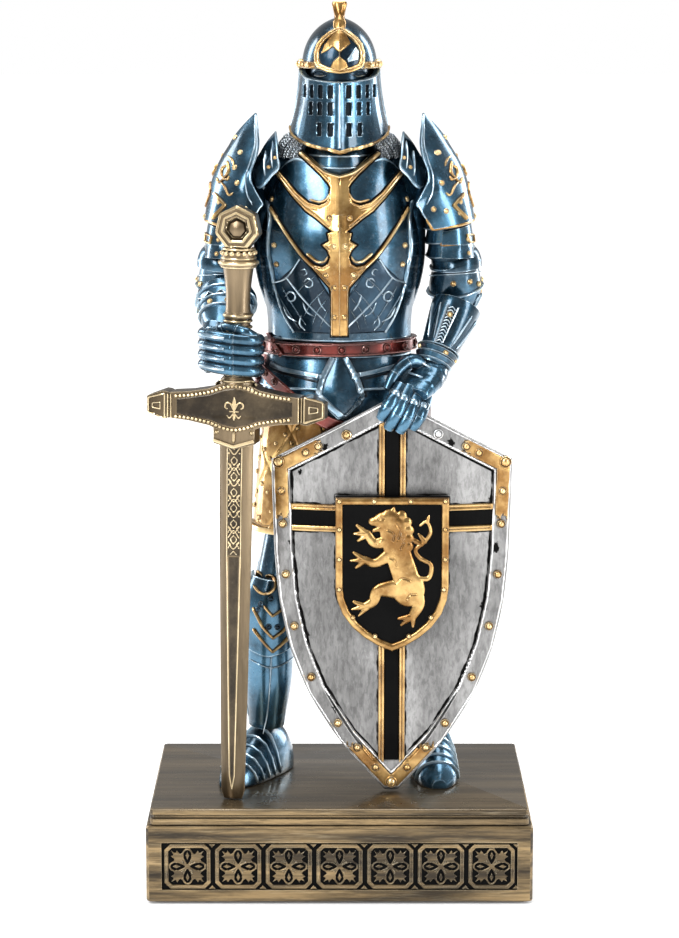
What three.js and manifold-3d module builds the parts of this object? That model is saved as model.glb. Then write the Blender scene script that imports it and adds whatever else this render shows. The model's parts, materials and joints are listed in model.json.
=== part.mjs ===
// A cast desk statuette of an armoured knight on a plinth. The knight's left hand holds a heater
// shield and the right hand holds a sword, whose upper hilt is a ballpoint pen that draws straight up.
// Millimetres, +Z up, the knight faces -Y. "right" and "left" are the knight's own, so right is -X.
// The origin is the centre of the plinth's underside.
import * as THREE from "three";
import { mergeVertices } from "three/addons/utils/BufferGeometryUtils.js";
import Module from "manifold-3d";

const wasm = await Module();
wasm.setup();

// ---- driving dimensions ----
const GAP = 0.3; // glue line between castings that touch
const PLINTH = { width: 139, depth: 93, blockTop: 29, top: 35.1, wall: 6, floor: 1, corner: 1 };
const SLAB = { width: 136, depth: 90 };
const PAD = { thickness: 1, inset: 3 };
const BOTTOM_PLATE = { thickness: 2, inset: 4 };
const FRIEZE = { bottom: 5.5, height: 17.4, tile: 18.24, frontTiles: 7, sideTiles: 4, thickness: 1.4,
  pocket: 1.9 };
const SCREW = { radius: 2, bore: 2.3, headRadius: 3.8, headHeight: 2.4, length: 26 };
const SWORD = { x: -39.2, y: -32, leanDeg: 0.93, yawDeg: 12, tip: PLINTH.top + 0.3 };
const PEN = { radius: 3.1, noseRadius: 1.95, clearance: 0.35, shoulder: 177, tip: 159.6, mouth: 210.4 };
const REFILL = { radius: 1.175, length: 67 }; // the common small metal refill
const SHIELD = { x: 18.9, y: -20.9, tip: PLINTH.top + 0.4, bend: 135, lean: 0.03, board: 2.2, rimWidth: 6.2,
  rimProud: 0.9 };
const WALL = 1.3; // thickness of an armour plate

// ---- materials ----
const material = (color, roughness, metalness) => new THREE.MeshStandardMaterial({ color, roughness,
  metalness });
const BLUE = material(0x3f6f92, 0.32, 0.9);
const GOLD = material(0xc79a4b, 0.35, 0.9);
const BRASS = material(0x8f7a52, 0.4, 0.9);
const BRONZE = material(0x7d6a45, 0.45, 0.8);
const SILVER = material(0x9a9a9c, 0.45, 0.8);
const BLACK = material(0x0c0c0e, 0.25, 0.1);
const LEATHER = material(0x7a2f28, 0.4, 0.5);
const MAIL = material(0x2c3b47, 0.5, 0.8);
const FELT = material(0x161616, 0.95, 0);
const STEEL = material(0x9da1a6, 0.35, 1);

// ---- solids ----
const root = new THREE.Group();
const radians = THREE.MathUtils.degToRad;
const vector = (p) => new THREE.Vector3(...p);

/** A closed geometry as a manifold solid, turned the right way out. */
function solidOf(geometry) {
  const plain = geometry.clone();
  for (const name of ["normal", "uv", "uv1"]) plain.deleteAttribute(name);
  const merged = mergeVertices(plain, 1e-4);
  const vertProperties = new Float32Array(merged.attributes.position.array);
  const triVerts = new Uint32Array(merged.index.array);
  const made = new wasm.Manifold(new wasm.Mesh({ numProp: 3, vertProperties, triVerts }));
  if (made.volume() >= 0) return made;
  for (let i = 0; i < triVerts.length; i += 3) {
    [triVerts[i + 1], triVerts[i + 2]] = [triVerts[i + 2], triVerts[i + 1]];
  }
  return new wasm.Manifold(new wasm.Mesh({ numProp: 3, vertProperties, triVerts }));
}

/** A manifold solid as a three.js geometry. */
function geometryOf(solid) {
  const mesh = solid.getMesh();
  const points = new Float32Array(mesh.numVert * 3);
  for (let i = 0; i < mesh.numVert; i++) {
    points.set(mesh.vertProperties.subarray(i * mesh.numProp, i * mesh.numProp + 3), i * 3);
  }
  return new THREE.BufferGeometry()
    .setAttribute("position", new THREE.BufferAttribute(points, 3))
    .setIndex(new THREE.BufferAttribute(mesh.triVerts, 1));
}

function add(name, shape, finish, parent = root) {
  const solid = shape.isBufferGeometry ? solidOf(shape) : shape;
  const mesh = new THREE.Mesh(geometryOf(solid), finish);
  mesh.name = name;
  parent.add(mesh);
  return mesh;
}

/** A closed skin over loops of equal length; the end loops are capped unless the loops join up. */
function skin(loops, joined = false) {
  const size = loops[0].length;
  const points = loops.flat();
  const index = [];
  const spans = joined ? loops.length : loops.length - 1;
  for (let i = 0; i < spans; i++) {
    const next = (i + 1) % loops.length;
    for (let j = 0; j < size; j++) {
      const k = (j + 1) % size;
      index.push(i * size + j, i * size + k, next * size + k);
      index.push(i * size + j, next * size + k, next * size + j);
    }
  }
  if (!joined) {
    for (const [ring, flip] of [[0, true], [loops.length - 1, false]]) {
      const centre = loops[ring].reduce((sum, p) => sum.clone().add(p),
        new THREE.Vector3()).divideScalar(size);
      points.push(centre);
      for (let j = 0; j < size; j++) {
        const a = ring * size + j;
        const b = ring * size + ((j + 1) % size);
        index.push(points.length - 1, flip ? b : a, flip ? a : b);
      }
    }
  }
  const geometry = new THREE.BufferGeometry().setFromPoints(points);
  geometry.setIndex(index);
  return geometry;
}

/** A limb: elliptical sections [x, y, z, rx, ry] along a path, square to it. */
function limb(stations, sides = 16, reference = [0, 1, 0], power = 2) {
  const centres = stations.map((s) => vector(s.slice(0, 3)));
  return skin(stations.map((station, i) => {
    const before = centres[Math.max(0, i - 1)];
    const after = centres[Math.min(centres.length - 1, i + 1)];
    const along = after.clone().sub(before).normalize();
    const side = vector(reference).cross(along).normalize();
    const depth = along.clone().cross(side);
    return Array.from({ length: sides }, (_, j) => {
      const angle = (2 * Math.PI * j) / sides;
      const [c, s] = [Math.cos(angle), Math.sin(angle)];
      const round = (v) => Math.sign(v) * Math.abs(v) ** (2 / power);
      return centres[i].clone().addScaledVector(side, station[3] * round(c)).addScaledVector(depth,
        station[4] * round(s));
    });
  }));
}

/** A stack of level elliptical sections [z, rx, ry, centre y], sharpened at the front by a ridge. */
function stack(sections, sides = 24, ridge = 0, centreX = 0) {
  return skin(sections.map(([z, rx, ry, cy = 0]) => level(z, rx, ry, cy, sides, ridge, centreX)));
}

function level(z, rx, ry, cy, sides, ridge, centreX = 0) {
  return Array.from({ length: sides }, (_, j) => {
    const angle = (2 * Math.PI * j) / sides;
    const front = Math.max(0, -Math.sin(angle)) ** 6;
    return vector([centreX + rx * Math.cos(angle), cy + ry * Math.sin(angle) - ridge * front, z]);
  });
}

/** A hoop: a wall that follows level sections [z, rx, ry, centre y] on its outside, open top and bottom. */
function hoop(sections, wall = WALL, sides = 32) {
  const outside = sections.map(([z, rx, ry, cy = 0]) => level(z, rx, ry, cy, sides, 0));
  const inside = sections.map(([z, rx, ry, cy = 0]) => level(z, rx - wall, ry - wall, cy, sides, 0));
  return skin([...outside, ...inside.reverse()], true);
}

/** A closed body between two surfaces given as functions of (u, v), each from 0 to 1. */
function between(nu, nv, front, back) {
  const points = [];
  const index = [];
  const at = (layer, i, j) => layer * (nu + 1) * (nv + 1) + i * (nv + 1) + j;
  for (const surface of [front, back]) {
    for (let i = 0; i <= nu; i++) for (let j = 0; j <= nv; j++) points.push(surface(i / nu, j / nv));
  }
  const quad = (a, b, c, d) => index.push(a, b, c, a, c, d);
  for (let i = 0; i < nu; i++) {
    for (let j = 0; j < nv; j++) {
      quad(at(0, i, j), at(0, i + 1, j), at(0, i + 1, j + 1), at(0, i, j + 1));
      quad(at(1, i, j), at(1, i, j + 1), at(1, i + 1, j + 1), at(1, i + 1, j));
    }
  }
  for (let i = 0; i < nu; i++) {
    quad(at(0, i, 0), at(1, i, 0), at(1, i + 1, 0), at(0, i + 1, 0));
    quad(at(0, i, nv), at(0, i + 1, nv), at(1, i + 1, nv), at(1, i, nv));
  }
  for (let j = 0; j < nv; j++) {
    quad(at(0, 0, j), at(0, 0, j + 1), at(1, 0, j + 1), at(1, 0, j));
    quad(at(0, nu, j), at(1, nu, j), at(1, nu, j + 1), at(0, nu, j + 1));
  }
  const geometry = new THREE.BufferGeometry().setFromPoints(points);
  geometry.setIndex(index);
  return geometry;
}

/** A smooth surface through rows of control points. */
function surfaceThrough(rows) {
  const curve = (points) => new THREE.CatmullRomCurve3(points, false, "catmullrom", 0.5);
  const lines = rows.map((row) => curve(row.map(vector)));
  return (u, v) => curve(lines.map((line) => line.getPoint(v))).getPoint(u);
}

/** An armour plate: a smooth surface through rows of points, its wall growing towards the point inside. */
function plate(rows, inside, { wall = WALL, lift = 0, nu = 6, nv = 8 } = {}) {
  const surface = surfaceThrough(rows);
  const heart = vector(inside);
  const normalAt = (u, v) => {
    const step = 0.01;
    const du = surface(Math.min(1, u + step), v).sub(surface(Math.max(0, u - step), v));
    const dv = surface(u, Math.min(1, v + step)).sub(surface(u, Math.max(0, v - step)));
    const normal = du.cross(dv).normalize();
    return normal.dot(surface(u, v).sub(heart)) < 0 ? normal.negate() : normal;
  };
  const offset = (distance) => (u, v) => surface(u, v).addScaledVector(normalAt(u, v), distance);
  return between(nu, nv, offset(lift), offset(lift - wall));
}

/** Rows of control points mirrored to the knight's other side. */
const mirrored = (rows) => rows.map((row) => row.map(([x, y, z]) => [-x, y, z]));
const mirroredPoint = ([x, y, z]) => [-x, y, z];

function box(x0, x1, y0, y1, z0, z1) {
  const geometry = new THREE.BoxGeometry(x1 - x0, y1 - y0, z1 - z0);
  return geometry.translate((x0 + x1) / 2, (y0 + y1) / 2, (z0 + z1) / 2);
}

/** A solid of revolution about a vertical axis, from [radius, z] points that start and end on the axis. */
function turned(profile, x = 0, y = 0, sides = 20) {
  const points = profile.map(([r, z]) => new THREE.Vector2(r, z));
  return new THREE.LatheGeometry(points, sides).rotateX(Math.PI / 2).translate(x, y, 0);
}

const rod = (radius, z0, z1, x = 0, y = 0, sides = 20) => turned([[0, z0], [radius, z0], [radius, z1],
  [0, z1]], x, y, sides);

/** A level rectangle as a loop, with small cut corners. */
function rectangle(width, depth, z, cut = PLINTH.corner) {
  const [w, d] = [width / 2, depth / 2];
  const corners = [[-w + cut, -d], [w - cut, -d], [w, -d + cut], [w, d - cut], [w - cut, d], [-w + cut, d],
    [-w, d - cut], [-w, -d + cut]];
  return corners.map(([x, y]) => vector([x, y, z]));
}

const block = (levels) => skin(levels.map(([z, inset]) => rectangle(PLINTH.width - 2 * inset,
  PLINTH.depth - 2 * inset, z)));

// ---- plinth ----
const FOOT_SCREWS = { right: [-28, 3], left: [35.5, 2] };
const screwBore = ([x, y]) => solidOf(rod(SCREW.bore, PLINTH.blockTop - 12, PLINTH.top + 20, x, y, 12));

function plinthBlock() {
  const { width, depth, wall, floor, blockTop } = PLINTH;
  const plateHalf = [width / 2 - BOTTOM_PLATE.inset, depth / 2 - BOTTOM_PLATE.inset];
  let shape = solidOf(block([[floor, 0.3], [floor + 0.8, 0], [blockTop - 0.8, 0], [blockTop, 0.6]]));
  shape = shape.subtract(solidOf(box(-width / 2 + wall, width / 2 - wall, -depth / 2 + wall,
    depth / 2 - wall, 0, blockTop - wall)));
  const [px, py] = plateHalf;
  shape = shape.subtract(solidOf(box(-px, px, -py, py, 0, floor + BOTTOM_PLATE.thickness + GAP)));
  for (const pocket of friezePockets(0)) shape = shape.subtract(solidOf(pocket));
  for (const place of Object.values(FOOT_SCREWS)) shape = shape.subtract(screwBore(place));
  return shape;
}

/** The four frieze panels as boxes: front, back, right and left. shrink is the gap all round. */
function friezePockets(shrink, depth = FRIEZE.pocket) {
  const half = (tiles) => (tiles * FRIEZE.tile) / 2 - shrink;
  const [z0, z1] = [FRIEZE.bottom + shrink, FRIEZE.bottom + FRIEZE.height - shrink];
  const [x, y] = [PLINTH.width / 2, PLINTH.depth / 2];
  const [front, side] = [half(FRIEZE.frontTiles), half(FRIEZE.sideTiles)];
  const outer = shrink ? -(FRIEZE.pocket - depth - shrink) : 1;
  const inner = shrink ? FRIEZE.pocket - shrink : FRIEZE.pocket;
  return [
    box(-front, front, -y - outer, -y + inner, z0, z1),
    box(-front, front, y - inner, y + outer, z0, z1),
    box(-x - outer, -x + inner, -side, side, z0, z1),
    box(x - inner, x + outer, -side, side, z0, z1),
  ];
}

function plinth() {
  add("plinth_block", plinthBlock(), BRONZE);
  const [w, d] = [SLAB.width, SLAB.depth];
  const edge = [[PLINTH.blockTop + 0.1, 0], [31.4, 0], [31.8, 1], [32.5, 1], [32.9, 0], [34.6, 0],
    [PLINTH.top, 0.5]];
  let slab = solidOf(skin(edge.map(([z, inset]) => rectangle(w - 2 * inset, d - 2 * inset, z))));
  for (const place of Object.values(FOOT_SCREWS)) slab = slab.subtract(screwBore(place));
  add("plinth_top", slab, BRONZE);
  const names = ["frieze_front", "frieze_back", "frieze_right", "frieze_left"];
  friezePockets(0.15, FRIEZE.thickness).forEach((panel, i) => add(names[i], panel, BRONZE));
  const plate = [PLINTH.width / 2 - BOTTOM_PLATE.inset - GAP, PLINTH.depth / 2 - BOTTOM_PLATE.inset - GAP];
  const plateFloor = PAD.thickness + 0.1;
  add("bottom_plate", box(-plate[0], plate[0], -plate[1], plate[1], plateFloor,
    plateFloor + BOTTOM_PLATE.thickness), BLACK);
  const pad = [PLINTH.width / 2 - PAD.inset, PLINTH.depth / 2 - PAD.inset];
  add("felt_pad", box(-pad[0], pad[0], -pad[1], pad[1], 0, PAD.thickness - 0.1), FELT);
  for (const [side, [x, y]] of Object.entries(FOOT_SCREWS)) {
    const under = PLINTH.blockTop - PLINTH.wall - 0.2;
    const { radius, headRadius, headHeight, length } = SCREW;
    add(`foot_screw_${side}`, turned([
      [0, under - headHeight + 1], [1.2, under - headHeight + 1], [1.4, under - headHeight],
      [headRadius - 0.8, under - headHeight], [headRadius, under - headHeight / 2], [headRadius, under],
      [radius, under], [radius, under + length - 3], [0, under + length],
    ], x, y, 14), STEEL);
  }
}

// ---- legs ----
const LEGS = {
  right: { hip: [-12.5, 1], knee: [-25.4, -2], ankle: [-27.2, 2.5], heel: [-22.5, 12.5], toe: [-41, -17.5] },
  left: { hip: [12.5, 1], knee: [27, -2], ankle: [34.5, 3], heel: [34, 13.5], toe: [36.6, -18.5] },
};
const HEIGHT = { ankle: 54, knee: 99, hip: 160 };

/** [z, radius across, radius deep] down the leg, its centre sliding between hip, knee and ankle. */
const LEG_PROFILE = [
  [54.3, 7, 7.2], [60, 7.6, 8], [69, 9, 9.9], [78, 9.6, 10.7], [86, 8.8, 9.6], [93, 7.8, 8.2],
  [101, 7.9, 8.2], [110, 7.9, 8.4], [124, 8, 8.8], [142, 8.8, 9.4], [156.4, 9, 9.6],
];

function legCentre({ hip, knee, ankle }, z) {
  const [a, b, t] = z < HEIGHT.knee
    ? [ankle, knee, (z - HEIGHT.ankle) / (HEIGHT.knee - HEIGHT.ankle)]
    : [knee, hip, (z - HEIGHT.knee) / (HEIGHT.hip - HEIGHT.knee)];
  return [a[0] + (b[0] - a[0]) * t, a[1] + (b[1] - a[1]) * t];
}

/** The knee plate: rows from top to bottom of points round the front of the knee, deepest at the middle. */
function poleynRows(place) {
  const rows = [[113, 111.5], [107, 105], [99, 96], [92, 86.5], [89, 83]];
  return rows.map(([outer, middle], i) => Array.from({ length: 7 }, (_, j) => {
    const t = j / 3 - 1;
    const z = middle + (outer - middle) * Math.abs(t) ** 1.3;
    const [x, y] = legCentre(place, z);
    const angle = radians(-90 + 100 * t);
    const reach = [9.9, 11.2, 11.4, 10.3, 10.1][i];
    return [x + (reach + 0.2) * Math.cos(angle), y + (reach + 1.1) * Math.sin(angle), z];
  }));
}

/** Foot sections from heel to toe: [share of the length, half width, height above the plinth]. */
const FOOT = [
  [-0.05, 5.2, 13.6], [0.04, 6.6, 17.6], [0.2, 7.5, 18.5], [0.4, 7.7, 18.5], [0.52, 7.8, 15.4],
    [0.66, 7.8, 12],
  [0.82, 7.3, 9], [0.94, 5.5, 6.6], [1.04, 2.6, 3.6],
];

function sabaton({ heel, toe }) {
  const [start, end] = [vector([...heel, PLINTH.top + 0.3]), vector([...toe, PLINTH.top + 0.3])];
  const along = end.clone().sub(start);
  const across = vector([0, 0, 1]).cross(along).normalize();
  return skin(FOOT.map(([share, half, height]) => {
    const foot = start.clone().addScaledVector(along, share);
    const outline = [[-1, 0], [-1.04, 0.2], [-0.96, 0.5], [-0.68, 0.82], [-0.3, 0.97], [0, 1], [0.3, 0.97],
      [0.68, 0.82], [0.96, 0.5], [1.04, 0.2], [1, 0], [0, 0]];
    return outline.map(([a, b]) => foot.clone().addScaledVector(across, a * half).setZ(foot.z + b * height));
  }).reverse());
}

function legs() {
  for (const [side, place] of Object.entries(LEGS)) {
    const stations = LEG_PROFILE.map(([z, rx, ry]) => [...legCentre(place, z), z, rx, ry]);
    add(`leg_${side}`, limb(stations, 16), BLUE);
    add(`knee_plate_${side}`, plate(poleynRows(place), [...legCentre(place, 99), 99], { nu: 6, nv: 12 }),
      BLUE);
    const bore = screwBore(FOOT_SCREWS[side]).subtract(solidOf(box(-80, 80, -80, 80, PLINTH.top + 14.2, 99)));
    add(`sabaton_${side}`, solidOf(sabaton(place)).subtract(bore), BLUE);
  }
}

// ---- hips ----
function hips() {
  add("skirt", hoop([[175.5, 26, 15.2, 1], [162, 28.4, 16, 1], [146, 30, 16.8, 1], [128.4, 31.6, 17.6, 1]],
    1.4, 28), GOLD);
  add("fauld_lower", hoop([[186.6, 25.8, 15.6, 1], [179, 28, 17, 1], [171, 30.2, 18, 1]], 1.1, 28), BLUE);
  add("fauld_upper", hoop([[194.2, 26.2, 16.4, 1], [190, 27.4, 17.8, 1], [183, 29.3, 19.4, 1]], 1.1, 28),
    BLUE);
  const point = [
    [[-2.5, -17.4, 194.6], [0, -18.2, 194.6], [2.5, -17.4, 194.6]],
    [[-5.2, -18.6, 189], [0, -20, 189], [5.2, -18.6, 189]],
    [[-8, -19.4, 182.5], [0, -21.6, 182.5], [8, -19.4, 182.5]],
    [[-4.6, -20.6, 177], [0, -22, 176.2], [4.6, -20.6, 177]],
    [[-0.6, -21.8, 173.4], [0, -22, 173], [0.6, -21.8, 173.4]],
  ];
  add("fauld_point", plate(point, [0, 0, 184], { wall: 1.2, nu: 6, nv: 6, lift: 0.6 }), BLUE);
}

/** A strap: a closed band of the given width that follows a loop of points, its outside away from the axis. */
function strap(points, width, thickness, sides = 40) {
  const loop = new THREE.CatmullRomCurve3(points.map(vector), true, "catmullrom", 0.5);
  return skin(Array.from({ length: sides }, (_, i) => {
    const at = loop.getPoint(i / sides);
    const along = loop.getTangent(i / sides);
    const out = vector([at.x, at.y, 0]).normalize();
    const up = out.clone().cross(along).normalize();
    if (up.z < 0) up.negate();
    const corner = (a, b) => at.clone().addScaledVector(up, a * width / 2).addScaledVector(out,
      b * thickness / 2);
    return [corner(-1, 1), corner(1, 1), corner(1, -1), corner(-1, -1)];
  }), true);
}

function belts() {
  const waist = Array.from({ length: 16 }, (_, i) => {
    const angle = (2 * Math.PI * i) / 16;
    return [27 * Math.cos(angle), 0.8 + 19 * Math.sin(angle), 197.4 + 0.5 * Math.cos(angle)];
  });
  add("waist_belt", strap(waist, 5, 1.2, 32), LEATHER);
  const sling = [
    [-29.4, -5.4, 190.6], [-26.2, -12.2, 187.6], [-20.8, -16.8, 183.2], [-13.2, -19.9, 177], [-2, -20.2, 170.4],
    [10, -18.8, 168.4], [24, -14.6, 168.6], [31.2, -7, 171], [33, 2, 174], [29, 12, 177.5], [18, 19, 180.5],
    [3, 21.8, 183], [-12, 21, 185.5], [-24, 15.6, 188], [-30.4, 5, 190.8],
  ];
  add("sword_belt", strap(sling, 4.2, 1.1, 44), LEATHER);
}

// ---- trunk ----
/** Cuirass sections: [z, half width, half depth at the front, half depth at the back]. */
const CUIRASS = [
  [200.6, 26, 17.6, 15.4], [206, 26, 18.2, 15.8], [214, 27, 19.8, 16.6], [224, 28.6, 21.4, 17.6],
    [234, 29.4, 21.8, 18.2],
  [243, 28, 20.6, 18.2], [250, 26.2, 18.8, 17], [256, 23.6, 15.8, 15],
];
/** How far the breast's upper edge stands above the last section, from the throat to the side. */
const COLLAR_RISE = [3, 7, 9, 5, 1];

/** The front or back half of the cuirass as rows of points; ridge sharpens the middle line. */
function cuirassRows(front, ridge) {
  return CUIRASS.map(([z, half, deepFront, deepBack], row) => Array.from({ length: 9 }, (_, j) => {
    const t = j / 4 - 1;
    const angle = radians(86 * t);
    const keel = ridge * Math.max(0, 1 - Math.abs(t) * 2.4);
    const share = [0.35, 1][row - CUIRASS.length + 2] ?? 0;
    const rise = COLLAR_RISE[Math.abs(j - 4)] * share * (front ? 1 : 0.5);
    const deep = front ? -deepFront - keel + 0.25 * rise : deepBack - 0.2 * rise;
    return [half * Math.sin(angle), deep * Math.cos(angle), z + rise];
  }));
}

/** The gilt overlay's outline on the breast, right half, seen from the front as [x, z]. */
const STEM = 2.9;
const OVERLAY = {
  upper: [
    [0, 259], [-4.8, 260.4], [-8.4, 263.2], [-13.5, 268], [-14.4, 266.6], [-6.6, 259.4], [-4.2, 256.8],
      [-3.4, 255.4],
    [-3.6, 253.1], [-4.8, 250.3], [-7.2, 249.2], [-10.8, 250.1], [-15, 253.4], [-18.6, 257.4], [-21.8, 260.6],
    [-22.8, 259.2], [-19.8, 255.5], [-16.2, 251.3], [-12, 247], [-8.4, 244.6], [0, 237.9],
  ],
  lower: [
    [0, 241], [-4.4, 239.6], [-3.8, 236.9], [-6.3, 235.4], [-4.4, 233.6], [-3.4, 231.2], [-4.2, 228.9],
      [-6, 227.8], [-9, 228.4],
    [-12.6, 231.5], [-16.2, 236.1], [-20.4, 242.1], [-24.2, 248], [-25, 247], [-21.6, 242.1], [-18, 236.7],
    [-13.2, 230.6], [-8.4, 225.7], [-3.6, 220.2], [-2.7, 216], [0, 212],
  ],
};

function overlayPrism(points, sign) {
  const shape = new THREE.Shape(points.map(([x, z]) => new THREE.Vector2(sign * x, z)));
  const prism = new THREE.ExtrudeGeometry(shape, { depth: 60, bevelEnabled: false });
  return solidOf(prism.rotateX(Math.PI / 2).translate(0, 0, 0));
}

function trunk() {
  const keel = 1.3;
  const front = cuirassRows(true, keel);
  const heart = [0, 0, 230];
  add("breastplate", plate(front, heart, { nu: 9, nv: 16 }), BLUE);
  add("backplate", plate(cuirassRows(false, 0), heart, { nu: 7, nv: 12 }), BLUE);
  const hollow = CUIRASS.map(([z, half, f, b]) => [z, half - 3, (f + b) / 2 - 2.8, (b - f) / 2]);
  const hips = [[159.6, 20, 11.4, 1], [170, 23, 12.8, 1], [184, 23.4, 13.4, 1], [195, 22.8, 13, 0.5]];
  add("body_core", stack([...hips, ...hollow], 20), BLUE);
  const skinOver = solidOf(plate(front, heart, { nu: 9, nv: 16, wall: 0.6, lift: 0.6 + GAP / 2 }));
  let prisms = solidOf(box(-STEM, STEM, -60, 0, 202, 240));
  for (const sign of [1, -1]) {
    for (const outline of Object.values(OVERLAY)) prisms = prisms.add(overlayPrism(outline, sign));
  }
  add("breast_overlay", skinOver.intersect(prisms), GOLD);
}

const HEAD_Y = -3.4;
function neck() {
  const throat = [[257.8, 12.6, 12.4, -1.5], [262, 12.2, 12.4, -2], [266.5, 11.2, 11.6, -2],
    [270.3, 9.8, 9.8, -2]];
  const inside = [[276, 10.4, 12, HEAD_Y], [284, 10.8, 13, HEAD_Y], [291, 11, 13.6, HEAD_Y],
    [297.4, 11, 13.4, HEAD_Y]];
  add("neck_and_head_core", stack([...throat, ...inside], 20), MAIL);
  const ring = (reach, deep, z, drop) => Array.from({ length: 9 }, (_, j) => {
    const t = j / 4 - 1;
    const angle = radians(90 + 142 * t);
    return [reach * Math.cos(angle), 1 + deep * Math.sin(angle), z - drop * (1 - Math.abs(Math.cos(angle)))];
  });
  const rings = [ring(16.4, 12.8, 273.8, 2.2), ring(20.8, 13.8, 271.4, 4), ring(22.8, 13.6, 265.4, 4.2)];
  add("mail_collar", plate(rings, [0, 0, 250], { wall: 1.4, nu: 3, nv: 20 }), MAIL);
}

// ---- shoulders ----
const PAULDRON = [
  [[-27.4, -15.5, 249.5], [-32, -15.6, 259], [-29.6, -9.5, 268.5], [-30.6, 1, 280.6], [-29.6, 11.5, 268.5],
    [-32, 17.6, 259], [-27.4, 17.5, 249.5]],
  [[-29.5, -17, 246.5], [-35.5, -15.8, 256], [-36.2, -9, 266], [-37.6, 1, 273], [-36.2, 11, 266],
    [-35.5, 17.8, 256], [-29.5, 19, 246.5]],
  [[-31.5, -17.6, 243.5], [-40.4, -13.5, 250.5], [-43.6, -6.6, 256.5], [-45.4, 1, 260], [-43.6, 8.6, 256.5],
    [-40.4, 15.5, 250.5], [-31.5, 19.6, 243.5]],
  [[-33.5, -17, 240.5], [-43, -13, 241.6], [-47.8, -5.8, 242.5], [-49, 1, 242.5], [-47.8, 7.8, 242.5],
    [-43, 15, 241.6], [-33.5, 19, 240.5]],
];

/** A lame: a short plate wrapped round the outside of the arm, its lower edge dropping to a point outside. */
function lameRows(top, bottom, reach, drop) {
  return [0, 0.5, 1].map((share) => Array.from({ length: 7 }, (_, j) => {
    const t = j / 3 - 1;
    const angle = radians(180 + 108 * t);
    const z = top + (bottom - drop * (1 - Math.abs(t)) - top) * share + 2.5 * (1 - Math.abs(t));
    const spread = reach + 1.3 * share;
    return [-39.4 + spread * Math.cos(angle), 1.4 + (spread + 3) * Math.sin(angle), z];
  }));
}

function shoulders() {
  const strapPlate = [
    [[-21.8, -15.5, 262.6], [-22.6, -10.5, 268.4], [-23.4, -2, 273.4], [-23.4, 4, 273.4],
      [-22.6, 12.5, 268.4], [-21.8, 17, 262.6]],
    [[-25.4, -17.3, 258.8], [-26.2, -11.8, 264.4], [-27, -2, 269.2], [-27, 4, 269.2], [-26.2, 13.6, 264.4],
      [-25.4, 18.6, 258.8]],
    [[-27.8, -17.4, 255.9], [-28.2, -12, 261.6], [-28.8, -2, 265.4], [-28.8, 4, 265.4],
      [-28.2, 13.8, 261.6], [-27.8, 18.8, 255.9]],
    [[-29.8, -13.2, 255.6], [-30.8, -9.6, 259.8], [-31.6, -2, 262.8], [-31.6, 4, 262.8],
      [-30.8, 11.4, 259.8], [-29.8, 14.8, 255.6]],
  ];
  const pieces = {
    shoulder_strap_plate: [strapPlate, [-22, 1, 245], { nu: 4, nv: 8 }],
    pauldron: [PAULDRON, [-32, 1, 250], { nu: 7, nv: 14 }],
  };
  const lames = [[lameRows(239, 234.4, 8.4, 3), [-37.6, 1, 238]],
    [lameRows(234, 229.4, 8.8, 3), [-38.2, 1, 232]]];
  for (const [side, turn, point] of [["right", (rows) => rows, (p) => p],
    ["left", mirrored, mirroredPoint]]) {
    for (const [name, [rows, inside, detail]] of Object.entries(pieces)) {
      add(`${name}_${side}`, plate(turn(rows), point(inside), detail), BLUE);
    }
    const [upper, lower] = lames.map(([rows, inside]) => solidOf(plate(turn(rows), point(inside),
      { wall: 1, nu: 2, nv: 10 })));
    add(`arm_lames_${side}`, upper.add(lower), BLUE);
  }
}

// ---- arms ----
const UPPER_ARM = [
  [-33.6, 1, 255.4, 3.4, 7], [-34.6, 1, 252, 5, 9.4], [-36.4, 1, 247, 6.2, 9.4], [-38, 1.2, 242, 6.4, 8.6],
  [-39, 1.6, 236.6, 6.8, 8], [-39.9, 2.2, 232, 7.1, 8.2], [-40.4, 2.8, 228.6, 7.4, 8.2],
];
const ELBOW = [
  [-42, 3.2, 226.4, 8.8, 9.4], [-42.2, 3.6, 224.4, 8.6, 9], [-42.1, 4.4, 220.2, 9.8, 9.8],
    [-42, 5, 214.8, 9.9, 9.4],
  [-42.1, 5, 210.8, 8, 8], [-42.2, 5, 207.8, 4.8, 6],
];
const FOREARM_RIGHT = [[-40.6, -6.2, 214.6, 11.4, 9.6], [-41, -10, 212.4, 10.6, 8.6],
  [-41.4, -15.6, 208.8, 8.8, 7.2], [-41.8, -19.8, 205.4, 7, 6], [-42.2, -22.4, 203.2, 6.8, 6]];
const FOREARM_LEFT = [
  [42.2, -6.2, 211.6, 9.4, 9.4], [40.6, -8.4, 207.8, 9, 8.8], [37.9, -11.4, 201.8, 7.9, 7.6],
  [35, -14, 195.4, 6.5, 6.4], [33.2, -15.4, 191.6, 6.2, 6],
];

/** The same limb grown by a clearance all round and at both ends. */
function grown(stations, by = GAP) {
  const wide = stations.map(([x, y, z, rx, ry]) => [x, y, z, rx + by, ry + by]);
  const past = (a, b) => {
    const step = vector(a.slice(0, 3)).sub(vector(b.slice(0, 3))).setLength(by);
    return [a[0] + step.x, a[1] + step.y, a[2] + step.z, a[3], a[4]];
  };
  return [past(wide[0], wide[1]), ...wide, past(wide.at(-1), wide.at(-2))];
}

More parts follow.
